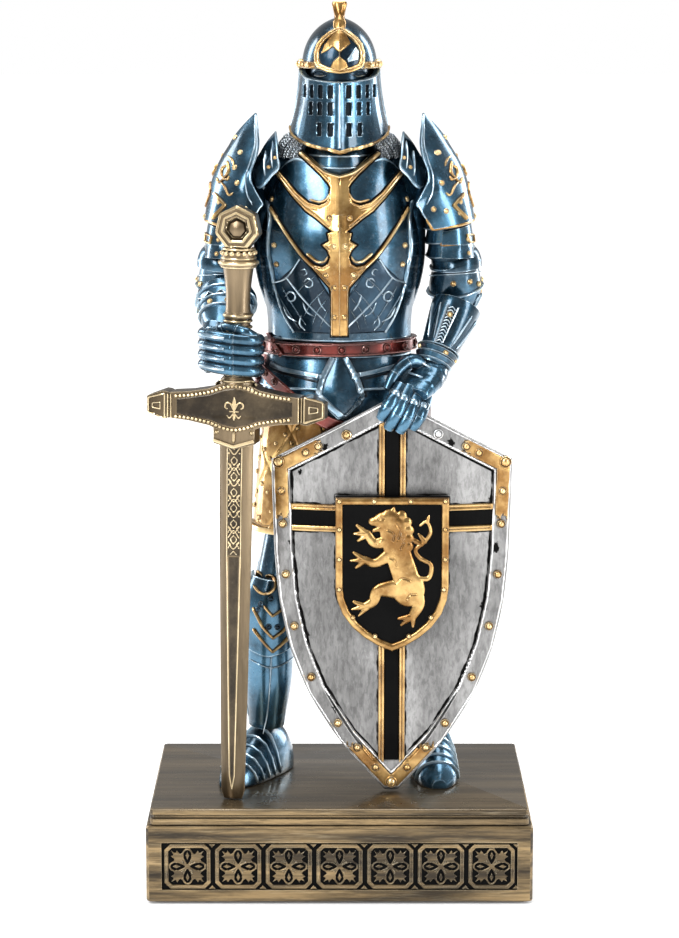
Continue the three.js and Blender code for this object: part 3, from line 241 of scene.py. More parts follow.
def smooth_copy(node, material, body="figure", slot=None, name=None, levels=2, bevel=0.25):
    """The CAD node's own shape: subdivided between its sharp edges, or at level 0 flat with softened edges."""
    sharp = 36.0
    bm = clean_mesh(node)
    if levels:
        bmesh.ops.join_triangles(bm, faces=bm.faces, angle_face_threshold=math.radians(25),
                                 angle_shape_threshold=math.radians(60))
    else:
        bmesh.ops.dissolve_limit(bm, angle_limit=math.radians(0.6), verts=bm.verts, edges=bm.edges)
    points = np.array([v.co[:] for v in bm.verts])
    faces = [[v.index for v in f.verts] for f in bm.faces]
    bm.free()
    piece = make(name or node + "_finished", points, faces, material, body, (node,), slot, sharp)
    if levels:
        bm = bmesh.new()
        bm.from_mesh(piece.data)
        crease = bm.edges.layers.float.new("crease_edge")
        for edge in bm.edges:
            edge[crease] = 0.92 if edge.calc_face_angle(0.0) > math.radians(sharp) else 0.0
        bm.to_mesh(piece.data)
        bm.free()
        modifier = piece.modifiers.new("smooth", "SUBSURF")
        modifier.levels = modifier.render_levels = levels
    else:
        modifier = piece.modifiers.new("soft_edges", "BEVEL")
        modifier.width = bevel / MM
        modifier.segments = 2
        modifier.limit_method = "ANGLE"
        modifier.angle_limit = math.radians(sharp)
        modifier.harden_normals = True
    return piece


def borders(node, sharp=48.0):
    """The border of a plate, as closed loops of points midway through its wall, highest first."""
    bm = clean_mesh(node)
    bm.faces.ensure_lookup_table()
    patch, areas = [-1] * len(bm.faces), []
    for face in bm.faces:
        if patch[face.index] >= 0:
            continue
        patch[face.index], queue, area = len(areas), [face], 0.0
        while queue:
            f = queue.pop()
            area += f.calc_area()
            for e in f.edges:
                for g in e.link_faces:
                    if patch[g.index] < 0 and e.calc_face_angle(0.0) < math.radians(sharp):
                        patch[g.index] = len(areas)
                        queue.append(g)
        areas.append(area)
    outer, inner = np.argsort(areas)[::-1][:2]
    rings = []
    for wanted in (outer, inner):
        onward = {}
        for e in bm.edges:
            own = [f for f in e.link_faces if patch[f.index] == wanted]
            if len(own) == 1:
                for corner in own[0].loops:
                    if corner.edge == e:
                        onward[corner.vert.index] = corner.link_loop_next.vert.index
        loops = []
        while onward:
            start = next(iter(onward))
            loop, here = [start], onward.pop(start)
            while here in onward:
                loop.append(here)
                here = onward.pop(here)
            loops.append(loop)
        rings.append(loops)
    bm.verts.ensure_lookup_table()
    spots = np.array([v.co[:] for v in bm.verts])
    inside = spots[[i for loop in rings[1] for i in loop]]
    bm.free()
    middle = []
    for loop in rings[0]:
        out = spots[loop]
        if len(out) > 5:
            near = inside[np.argmin(np.linalg.norm(out[:, None] - inside[None], axis=2), axis=1)]
            middle.append((out + near) / 2)
    return sorted(middle, key=lambda p: -p[:, 2].mean())


def rim(soup, node, radius, keep=None):
    """Beads along the borders of a plate; keep is a test on the points."""
    for loop in borders(node):
        if keep is None:
            soup.add(*tube(loop, radius, closed=True))
            continue
        kept = np.array([bool(keep(p)) for p in loop])
        if not kept.any():
            continue
        start = int(np.argmin(kept)) if not kept.all() else 0
        run = []
        for k in range(len(loop) + 1):
            i = (start + k) % len(loop)
            if k < len(loop) and kept[i]:
                run.append(loop[i])
            else:
                if len(run) > 2:
                    soup.add(*tube(run, radius, taper=1.0))
                run = []
    return soup


class Soup:
    """Points and faces of several shapes gathered into one piece."""

    def __init__(self):
        self.points, self.faces, self.count = [], [], 0

    def add(self, points, faces):
        points = np.asarray(points, float).reshape(-1, 3)
        self.points.append(points)
        self.faces.extend([[int(i) + self.count for i in f] for f in faces])
        self.count += len(points)
        return self

    def make(self, name, material, **options):
        return make(name, np.concatenate(self.points), self.faces, material, **options)


def grid_faces(rows, columns, wrap=False, close=False):
    """Quads over a rows x columns grid of points; wrap joins the last column to the first, close the last row."""
    faces = []
    for i in range(rows if close else rows - 1):
        for j in range(columns if wrap else columns - 1):
            a, b = i, (i + 1) % rows
            c, d = j, (j + 1) % columns
            faces.append((a * columns + c, a * columns + d, b * columns + d, b * columns + c))
    return faces


def curve(points, step=0.35, closed=False, straight=False):
    """A smooth line through points in the plane or in space, at even steps."""
    p = np.asarray(points, float)
    if closed:
        p = np.concatenate([p, p[:1]])
    if not straight and len(p) > 2:
        before = np.concatenate([p[-2:-1] if closed else 2 * p[:1] - p[1:2], p[:-1]])
        after = np.concatenate([p[1:], p[1:2] if closed else 2 * p[-1:] - p[-2:-1]])
        tangent = (after - before) / 2
        t = np.linspace(0, 1, 9)[:-1, None]
        pieces = []
        for i in range(len(p) - 1):
            h00, h10 = 2 * t**3 - 3 * t**2 + 1, t**3 - 2 * t**2 + t
            h01, h11 = -2 * t**3 + 3 * t**2, t**3 - t**2
            pieces.append(h00 * p[i] + h10 * tangent[i] + h01 * p[i + 1] + h11 * tangent[i + 1])
        p = np.concatenate([*pieces, p[-1:]])
    lengths = np.concatenate([[0], np.cumsum(np.linalg.norm(np.diff(p, axis=0), axis=1))])
    count = max(3, int(lengths[-1] / step) + 1)
    at = np.linspace(0, lengths[-1], count)
    even = np.stack([np.interp(at, lengths, p[:, k]) for k in range(p.shape[1])], 1)
    return even[:-1] if closed else even


def unit(v):
    return v / np.maximum(np.linalg.norm(v, axis=-1, keepdims=True), 1e-9)


def cad_tree(nodes):
    """The vertices of CAD nodes in millimetres, and a tree of their faces in metres."""
    bm = bmesh.new()
    for node in nodes:
        bm.from_mesh(frame["nodes"][node].data)
    spots = np.array([v.co[:] for v in bm.verts]) * MM
    tree = BVHTree.FromBMesh(bm)
    bm.free()
    return spots, tree


def neighbours(depth, ends, **options):
    """The four neighbours of every cell; ends says what lies past the first axis, options what lies past both."""
    tall = np.pad(depth, ((0, 0), (1, 1)), **options)
    wide = np.pad(depth, ((1, 1), (0, 0)), **(ends or options))
    return np.stack([wide[:-2], wide[2:], tall[:, :-2], tall[:, 2:]])


def filled(depth, rounds, smooth, ends=None):
    """A depth map with its empty cells grown from their neighbours, then smoothed."""
    for _ in range(rounds):
        empty = np.isnan(depth)
        if not empty.any():
            break
        near = neighbours(depth, ends, constant_values=np.nan)
        known = ~np.isnan(near)
        total = np.where(known, near, 0).sum(0)
        depth = np.where(empty & known.any(0), total / np.maximum(known.sum(0), 1), depth)
    depth = np.nan_to_num(depth, nan=float(np.nanmin(depth)))
    for _ in range(smooth):
        near = neighbours(depth, ends, mode="edge")
        depth = 0.5 * depth + 0.125 * (near[0] + near[1] + near[2] + near[3])
    return depth


class View:
    """A surface seen level from one side. Maps a flat drawing (across, up) onto it, with a lift off the surface."""

    def __init__(self, nodes, azimuth=0.0, step=0.8, smooth=2):
        angle = math.radians(azimuth)
        self.right = np.array([math.cos(angle), math.sin(angle), 0.0])
        self.out = np.array([math.sin(angle), -math.cos(angle), 0.0])
        self.up = np.array([0.0, 0.0, 1.0])
        spots, tree = cad_tree(nodes)
        across = spots @ self.right
        self.step = step
        self.a0, self.z0 = across.min() - 2, spots[:, 2].min() - 2
        na = int((across.max() + 2 - self.a0) / step) + 1
        nz = int((spots[:, 2].max() + 2 - self.z0) / step) + 1
        depth = np.full((na, nz), np.nan)
        way = Vector((-self.out).tolist())
        for i in range(na):
            for j in range(nz):
                start = self.right * (self.a0 + i * step) + self.up * (self.z0 + j * step) + self.out * 300
                hit = tree.ray_cast(Vector((start / MM).tolist()), way)[0]
                if hit is not None:
                    depth[i, j] = float(np.dot(np.array(hit[:]) * MM, self.out))
        self.depth = filled(depth, 40, smooth)

    def deep(self, a, z):
        u = np.clip((a - self.a0) / self.step, 0, self.depth.shape[0] - 1.001)
        v = np.clip((z - self.z0) / self.step, 0, self.depth.shape[1] - 1.001)
        i, j = u.astype(int), v.astype(int)
        s, t = u - i, v - j
        s, t = s * s * (3 - 2 * s) * 0.5 + s * 0.5, t * t * (3 - 2 * t) * 0.5 + t * 0.5
        d = self.depth
        return (d[i, j] * (1 - s) + d[i + 1, j] * s) * (1 - t) + (d[i, j + 1] * (1 - s) + d[i + 1, j + 1] * s) * t

    def normal(self, a, z, span=0.9):
        da = (self.deep(a + span, z) - self.deep(a - span, z)) / (2 * span)
        dz = (self.deep(a, z + span) - self.deep(a, z - span)) / (2 * span)
        da, dz = np.clip(da, -4, 4), np.clip(dz, -4, 4)
        return unit(self.out - da[..., None] * self.right - dz[..., None] * self.up)

    def place(self, a, z, lift=0.0):
        a, z = np.broadcast_arrays(np.asarray(a, float), np.asarray(z, float))
        base = a[..., None] * self.right + z[..., None] * self.up + self.deep(a, z)[..., None] * self.out
        return base + np.asarray(lift, float)[..., None] * self.normal(a, z)


class Round:
    """A surface wrapped round an axis, or round a point if ball is set. Maps a flat drawing (across, up) onto it:
    across is the arc at a chosen radius, 0 in front. Up runs along the axis, or is the arc above the level of a ball."""

    def __init__(self, nodes, centre, radius, axis=(0, 0, 1), front=(0, -1, 0), ball=False, columns=144, rows=90,
                 smooth=1, reach=None):
        self.centre, self.radius, self.ball = np.array(centre, float), radius, ball
        self.up = unit(np.array(axis, float))
        self.out = unit(np.array(front, float) - np.dot(front, self.up) * self.up)
        self.right = np.cross(self.up, self.out)
        spots, tree = cad_tree(nodes)
        spots = spots - self.centre
        heights = spots @ self.up
        if ball:
            heights = np.arcsin(np.clip(heights / np.linalg.norm(spots, axis=-1), -1, 1)) * radius
        low, high = reach or (heights.min() + 0.02, heights.max() - 0.02)
        self.low, self.high = low, high
        theta = np.arange(columns) * 2 * math.pi / columns
        self.levels = np.linspace(low, high, rows)
        depth = np.full((columns, rows), np.nan)
        far = np.linalg.norm(spots, axis=1).max() + 20
        for i, angle in enumerate(theta):
            for j, level in enumerate(self.levels):
                origin, way = self.frame(np.array(angle * radius), np.array(level))
                start = (origin + way * far) / MM
                hit = tree.ray_cast(Vector(start.tolist()), Vector((-way).tolist()), far / MM)[0]
                if hit is not None:
                    depth[i, j] = float(np.dot(np.array(hit[:]) * MM - origin, way))
        self.hit = ~np.isnan(depth)
        self.depth = filled(depth, 200, smooth, {"mode": "wrap"})

    def frame(self, a, z):
        """The point a ray ends at and its direction away from the axis."""
        angle = (a / self.radius)[..., None]
        way = np.cos(angle) * self.out + np.sin(angle) * self.right
        if not self.ball:
            return self.centre + z[..., None] * self.up, way
        rise = (z / self.radius)[..., None]
        return self.centre + 0 * way, np.cos(rise) * way + np.sin(rise) * self.up

    def deep(self, a, z):
        columns, rows = self.depth.shape
        u = (a / self.radius) / (2 * math.pi) * columns
        v = np.clip((z - self.low) / (self.high - self.low) * (rows - 1), 0, rows - 1.001)
        i, j = np.floor(u).astype(int), v.astype(int)
        s, t = u - i, v - j
        i, k = i % columns, (i + 1) % columns
        d = self.depth
        return (d[i, j] * (1 - s) + d[k, j] * s) * (1 - t) + (d[i, j + 1] * (1 - s) + d[k, j + 1] * s) * t

    def surface(self, a, z):
        origin, way = self.frame(a, z)
        return origin + self.deep(a, z)[..., None] * way

    def normal(self, a, z, span=0.7):
        a, z = np.broadcast_arrays(np.asarray(a, float), np.asarray(z, float))
        da = self.surface(a + span, z) - self.surface(a - span, z)
        dz = self.surface(a, np.minimum(z + span, self.high)) - self.surface(a, np.maximum(z - span, self.low))
        return unit(np.cross(da, dz))

    def place(self, a, z, lift=0.0):
        a, z = np.broadcast_arrays(np.asarray(a, float), np.asarray(z, float))
        return self.surface(a, z) + np.asarray(lift, float)[..., None] * self.normal(a, z)

    def seen(self, shape):
        """A shape drawn level from the front, for use on this surface."""
        def distance(a, z):
            p = self.surface(a, z)
            return np.where(np.abs(a / self.radius) < 1.9, shape(p[..., 0], p[..., 2]), 9.0)
        return distance

    def skin(self, low, high, rows, columns, lift):
        """The whole turn of the surface between two heights: (points, faces)."""
        a = np.linspace(0, 2 * math.pi * self.radius, columns, endpoint=False)
        a, z = np.meshgrid(a, np.linspace(low, high, rows))
        return self.place(a, z, lift(a, z)).reshape(-1, 3), grid_faces(rows, columns, wrap=True)


ROUND = ((-1, -1.1), (-0.96, 0.3), (-0.62, 0.82), (0, 1), (0.62, 0.82), (0.96, 0.3), (1, -1.1))
FLAT = ((-1, -1.1), (-0.98, 0.55), (-0.8, 0.95), (0, 1), (0.8, 0.95), (0.98, 0.55), (1, -1.1))
GROOVED = ((-1, -1.1), (-0.96, 0.6), (-0.7, 1), (-0.42, 0.5), (0, 0.4), (0.42, 0.5), (0.7, 1), (0.96, 0.6), (1, -1.1))


def ends_of(rows, columns):
    """The two closing faces of a tube of rows x columns points."""
    return [tuple(range(columns)), tuple(range((rows - 1) * columns, rows * columns))]


def tapered(count, step, taper, least, power):
    """How wide each of count points along a line is, falling off towards both ends."""
    length = np.arange(count) * step
    return np.clip(np.minimum(length, length[::-1]) / taper, least, 1) ** power


def directions(p, closed):
    """The direction of a line at each of its points."""
    return unit(np.roll(p, -1, 0) - np.roll(p, 1, 0)) if closed else unit(np.gradient(p, axis=0))


def ribbon(view, path, width, height, profile=ROUND, closed=False, taper=0.0, lift=0.0, straight=False, step=0.4):
    """A raised band that follows a drawn line on a view: (points, faces)."""
    p = curve(path, step, closed, straight)
    along = directions(p, closed)
    side = np.stack([-along[:, 1], along[:, 0]], 1)
    scale = tapered(len(p), step, taper, 0.06, 0.6) if taper else np.ones(len(p))
    cross = np.array(profile)
    spots = p[:, None, :] + side[:, None, :] * (cross[None, :, 0, None] * (width / 2) * scale[:, None, None])
    lifts = cross[None, :, 1] * height * np.sqrt(scale)[:, None] + lift
    placed = view.place(spots[..., 0], spots[..., 1], lifts)
    faces = grid_faces(len(p), len(cross), close=closed)
    if not closed:
        faces += ends_of(len(p), len(cross))
    return placed.reshape(-1, 3), faces


def dome(center, normal, radius, height, ring=0.0, sides=14):
    """A rivet head on a surface, with an optional raised ring round it: (points, faces)."""
    normal = unit(np.asarray(normal, float))
    u = unit(np.cross(normal, [0.31, 0.17, 0.93] if abs(normal[2]) < 0.9 else [1.0, 0, 0]))
    v = np.cross(normal, u)
    start = ((1, -0.3), (0.95, 0.35), (0.55, 0.55), (0.15, 0.3), (0.05, 0.02)) if ring else ((0, -0.25), (0, 0.1))
    profile = [(radius + out * ring, up * height) for out, up in start]
    profile += [(radius * share, up * height) for share, up in ((0.86, 0.55), (0.55, 0.88), (0.2, 1))]
    angles = np.linspace(0, 2 * math.pi, sides, endpoint=False)
    rings = [center + r * (np.cos(angles)[:, None] * u + np.sin(angles)[:, None] * v) + h * normal for r,
             h in profile]
    points = np.concatenate([*rings, [center + height * 1.02 * normal]])
    faces = grid_faces(len(profile), sides, wrap=True)
    last, tip = (len(profile) - 1) * sides, len(points) - 1
    faces += [(last + j, last + (j + 1) % sides, tip) for j in range(sides)]
    return points, faces


def rivets(soup, view, spots, radius, height, ring=0.0, lift=0.0, facing=None):
    """Domes at spots of a view, turned as the view facing says if there is one."""
    for a, z in spots:
        a, z = np.array(a, float), np.array(z, float)
        soup.add(*dome(view.place(a, z, lift), (facing or view).normal(a, z), radius, height, ring))
    return soup


# ---- flat shapes as signed distances, negative inside ----


def polygon(points):
    """The signed distance to a closed outline."""
    p = np.asarray(points, float)
    q = np.roll(p, -1, 0)

    def distance(a, z):
        shape = a.shape
        a, z = a.ravel(), z.ravel()
        best = np.full(a.shape, 1e9)
        inside = np.zeros(a.shape, bool)
        for (x0, y0), (x1, y1) in zip(p, q):
            dx, dy = x1 - x0, y1 - y0
            t = np.clip(((a - x0) * dx + (z - y0) * dy) / max(dx * dx + dy * dy, 1e-12), 0, 1)
            best = np.minimum(best, (a - x0 - t * dx) ** 2 + (z - y0 - t * dy) ** 2)
            if y0 != y1:
                crosses = ((y0 > z) != (y1 > z)) & (a < (x1 - x0) * (z - y0) / (y1 - y0) + x0)
                inside ^= crosses
        d = np.sqrt(best)
        return np.where(inside, -d, d).reshape(shape)

    return distance


def line(points, width, closed=False, straight=False, taper=None):
    """The signed distance to a stroke; taper gives the widths at both ends."""
    p = curve(points, 0.5, closed, straight)
    if closed:
        p = np.concatenate([p, p[:1]])
    widths = np.full(len(p), width / 2) if taper is None else np.interp(np.linspace(0, 1, len(p)), [0, 0.5, 1],
            [taper[0] / 2, width / 2, taper[1] / 2])

    def distance(a, z):
        best = np.full(a.shape, 1e9)
        for (x0, y0), (x1, y1), w in zip(p[:-1], p[1:], widths):
            dx, dy = x1 - x0, y1 - y0
            t = np.clip(((a - x0) * dx + (z - y0) * dy) / max(dx * dx + dy * dy, 1e-12), 0, 1)
            best = np.minimum(best, np.hypot(a - x0 - t * dx, z - y0 - t * dy) - w)
        return best

    return distance


def any_of(*shapes):
    return lambda a, z: np.minimum.reduce([s(a, z) for s in shapes])


def without(shape, *holes):
    return lambda a, z: np.maximum.reduce([shape(a, z), *[-h(a, z) for h in holes]])


def inset(shape, by):
    return lambda a, z: shape(a, z) + by


def both(shape, middle=0.0):
    """The shape and its mirror image across the line a = middle."""
    return lambda a, z: np.minimum(shape(a, z), shape(2 * middle - a, z))


def relief(view, shape, low, high, height, bevel=0.4, step=0.25, lift=0.0, sink=0.5, crown=None):
    """A raised flat shape with rounded edges, lying on a view: (points, faces)."""
    a, z = np.meshgrid(np.arange(low[0], high[0] + step, step), np.arange(low[1], high[1] + step, step),
                       indexing="ij")
    d = shape(a, z)
    inside = d < 0
    cells = inside[:-1, :-1] | inside[1:, :-1] | inside[:-1, 1:] | inside[1:, 1:]
    ga, gz = np.gradient(d, step)
    size = np.maximum(ga**2 + gz**2, 0.2)
    snap = ~inside & (d < step * 1.6)
    a2, z2 = np.where(snap, a - d * ga / size, a), np.where(snap, z - d * gz / size, z)
    t = np.clip(-d / bevel, 0, 1)
    rise = height * np.sqrt(np.clip(1 - (1 - t) ** 2, 0, 1))
    if crown is not None:
        rise = rise + crown(a2, z2) * t
    used = np.zeros_like(inside)
    for da in (0, 1):
        for dz in (0, 1):
            used[da:da + cells.shape[0], dz:dz + cells.shape[1]] |= cells
    index = np.full(inside.shape, -1)
    index[used] = np.arange(used.sum())
    points = view.place(a2[used], z2[used], rise[used] + lift)
    i, j = np.nonzero(cells)
    faces = np.stack([index[i, j], index[i + 1, j], index[i + 1, j + 1], index[i, j + 1]], 1)
    edges = {}
    for f in faces:
        for m in range(4):
            e = (f[m], f[(m + 1) % 4])
            edges[e] = edges.get(e, 0) + 1
    rim = [e for e in edges if (e[1], e[0]) not in edges]
    ids = sorted({k for e in rim for k in e})
    below = {k: len(points) + n for n, k in enumerate(ids)}
    flat_a, flat_z = a2[used], z2[used]
    under = view.place(flat_a[ids], flat_z[ids], np.full(len(ids), lift - sink))
    walls = [(e[0], below[e[0]], below[e[1]], e[1]) for e in rim]
    return np.concatenate([points, under]), [tuple(f) for f in faces] + walls


def loft(stations, sides, power=2.0, step=0.5, front=(0, 1, 0), shape=None):
    """A limb through elliptical sections [x, y, z, across, deep]; shape(share, angle) scales the radius."""
    s = curve(stations, step)
    centre, radii = s[:, :3], s[:, 3:5]
    along = unit(np.gradient(centre, axis=0))
    side = unit(np.cross(np.broadcast_to(np.array(front, float), along.shape), along))
    deep = np.cross(along, side)
    angle = np.linspace(0, 2 * math.pi, sides, endpoint=False)
    c, w = (np.sign(v) * np.abs(v) ** (2 / power) for v in (np.cos(angle), np.sin(angle)))
    share = np.linspace(0, 1, len(s))
    scale = np.ones((len(s), sides)) if shape is None else shape(share[:, None], angle[None, :])
    points = centre[:, None, :] + side[:, None, :] * (radii[:, :1] * c * scale)[..., None]
    points = points + deep[:, None, :] * (radii[:, 1:] * w * scale)[..., None]
    return points.reshape(-1, 3), grid_faces(len(s), sides, wrap=True) + ends_of(len(s), sides)


def tube(points, radius, sides=10, closed=False, taper=0.0):
    """A round bead along a line in space."""
    step = 0.4
    p = curve(points, step, closed)
    along = directions(p, closed)
    out = p * [1, 1, 0]
    u = unit(out - np.sum(out * along, 1, keepdims=True) * along)
    v = np.cross(along, u)
    scale = tapered(len(p), step, taper, 0.1, 0.5) if taper else np.ones(len(p))
    angle = np.linspace(0, 2 * math.pi, sides, endpoint=False)[None, :, None]
    ring = radius * scale[:, None, None] * (np.cos(angle) * u[:, None, :] + np.sin(angle) * v[:, None, :])
    faces = grid_faces(len(p), sides, wrap=True, close=closed)
    if not closed:
        faces += ends_of(len(p), sides)
    return (p[:, None, :] + ring).reshape(-1, 3), faces


# ---------------------------------------------------------------- drawing helpers


def moved(shape, across, up, lean=0.0):
    """A shape drawn about the origin, set at a place and leaning to the right by a slope."""
    return lambda a, z: shape(a - across - (z - up) * lean, z - up)


def rotated(shape, degrees):
    c, s = math.cos(math.radians(degrees)), math.sin(math.radians(degrees))
    return lambda a, z: shape(a * c + z * s, -a * s + z * c)


def overlap(*shapes):
    return lambda a, z: np.maximum.reduce([s(a, z) for s in shapes])


def rectangle(a0, z0, a1, z1):
    return lambda a, z: np.maximum.reduce([a0 - a, a - a1, z0 - z, z - z1])


def disc(across, up, radius, tall=1.0):
    return lambda a, z: (np.hypot(a - across, (z - up) / tall) - radius) * min(1, tall)


def ragged(v, size=1.0):
    """A fixed wavering line, for brushed and broken edges."""
    return size * (np.sin(2.3 * v) + 0.6 * np.sin(5.1 * v + 1.0) + 0.4 * np.sin(11.7 * v + 2.0)) / 2


def mirror(points):
    return [(-x, z) for x, z in points]


def twice(*spots):
    """Spots drawn on one side of the middle, set on both."""
    return [(s * a, z) for s in (-1, 1) for a, z in spots]


def patch(name, view, shape, low, high, height, material, **options):
    extra = {key: options.pop(key) for key in ("body", "replaces", "slot") if key in options}
    points, faces = relief(view, shape, low, high, height, **options)
    return make(name, points, faces, material, **extra)


def lines(soup, view, paths, width, height, profile=ROUND, sides=(-1, 1), **options):
    """Raised lines along drawn paths, repeated on both sides of the middle."""
    for path in paths:
        for sign in sides:
            soup.add(*ribbon(view, [(sign * a, z) for a, z in path], width, height, profile, **options))
    return soup


def ring_on(soup, view, up, width, height, profile=ROUND, wave=0.0, turn=0.0, **options):
    """A band round the whole of a surface at one height, or rising by wave towards the side at turn."""
    a = np.linspace(-math.pi, math.pi, 81)
    soup.add(*ribbon(view, np.stack([a * view.radius, up + wave * np.cos(a - turn)], 1), width, height, profile,
                     straight=True, **options))


# ---------------------------------------------------------------- shield


# strokes as (points, widths at the start, the middle and the end) about the middle of the field
BEAST_LIMBS = (([(0.4, 13), (1.8, 6), (4, -1), (6, -7)], 10, 9.4, 9.6), ([(-1, 16.6), (0.6, 13)], 7, 10, 10),
               ([(-3, 17), (-7.2, 16.4)], 6, 4, 2.6), ([(-3, 14.4), (-6.6, 13.2)], 3, 2, 1.4),
               ([(-0.4, 19), (0.6, 21.4)], 3, 2, 0.8), ([(-1, 9.6), (-6.2, 8.6), (-9, 12)], 5, 3.6, 3),
               ([(-9, 12), (-12.6, 15)], 2.4, 1.8, 1.2), ([(-9, 12), (-13.6, 12)], 2.4, 1.7, 1),
               ([(-8.8, 11.6), (-12.2, 9.4)], 2.2, 1.6, 1), ([(0, 5), (-6, 1.2), (-10, 2.4)], 5, 3.6, 2.8),
               ([(-10, 2.4), (-13.8, 5)], 2.2, 1.7, 1.1), ([(-10, 2.4), (-14.8, 2)], 2.2, 1.6, 1),
               ([(-9.6, 2), (-13, -0.6)], 2.2, 1.6, 1), ([(5.6, -7.4), (6, -9)], 12, 12, 12),
               ([(3.6, -8.4), (-4.6, -9), (-6.6, -13), (-9.6, -15)], 8, 4.6, 3),
               ([(-9.6, -15), (-13.8, -13.2)], 2.4, 1.8, 1.2), ([(-9.6, -15), (-14.4, -16)], 2.4, 1.7, 1),
               ([(-9, -15.4), (-12, -18.4)], 2.2, 1.6, 1), ([(7, -9), (9.6, -14), (7.4, -18.6)], 8, 4.6, 3.2),
               ([(7.4, -18.6), (2.4, -19.4)], 2.6, 1.9, 1.2), ([(7.4, -18.6), (3.4, -21.8)], 2.6, 1.8, 1.1),
               ([(7.6, -18.6), (7.6, -22.4)], 2.4, 1.8, 1.1), ([(9.4, -4.6), (13.2, -4.4), (14, 0.4), (10, 3),
        (8.4, 6), (11.6, 9), (13.8, 12.6), (12.4, 16.4), (10, 15)], 2, 1.7, 1.3),
               ([(10.4, 8), (7.4, 9.8)], 2, 2.2, 0.6), ([(11.6, 9), (9.4, 12)], 2, 1.8, 0.6),
               ([(12.4, 16.2), (13.2, 18.6)], 1.8, 1.6, 0.6), )


def stroke(points, start, middle, end):
    """A line as wide as middle, swelling or thinning to its two ends."""
    return line(points, middle, taper=(start, end))


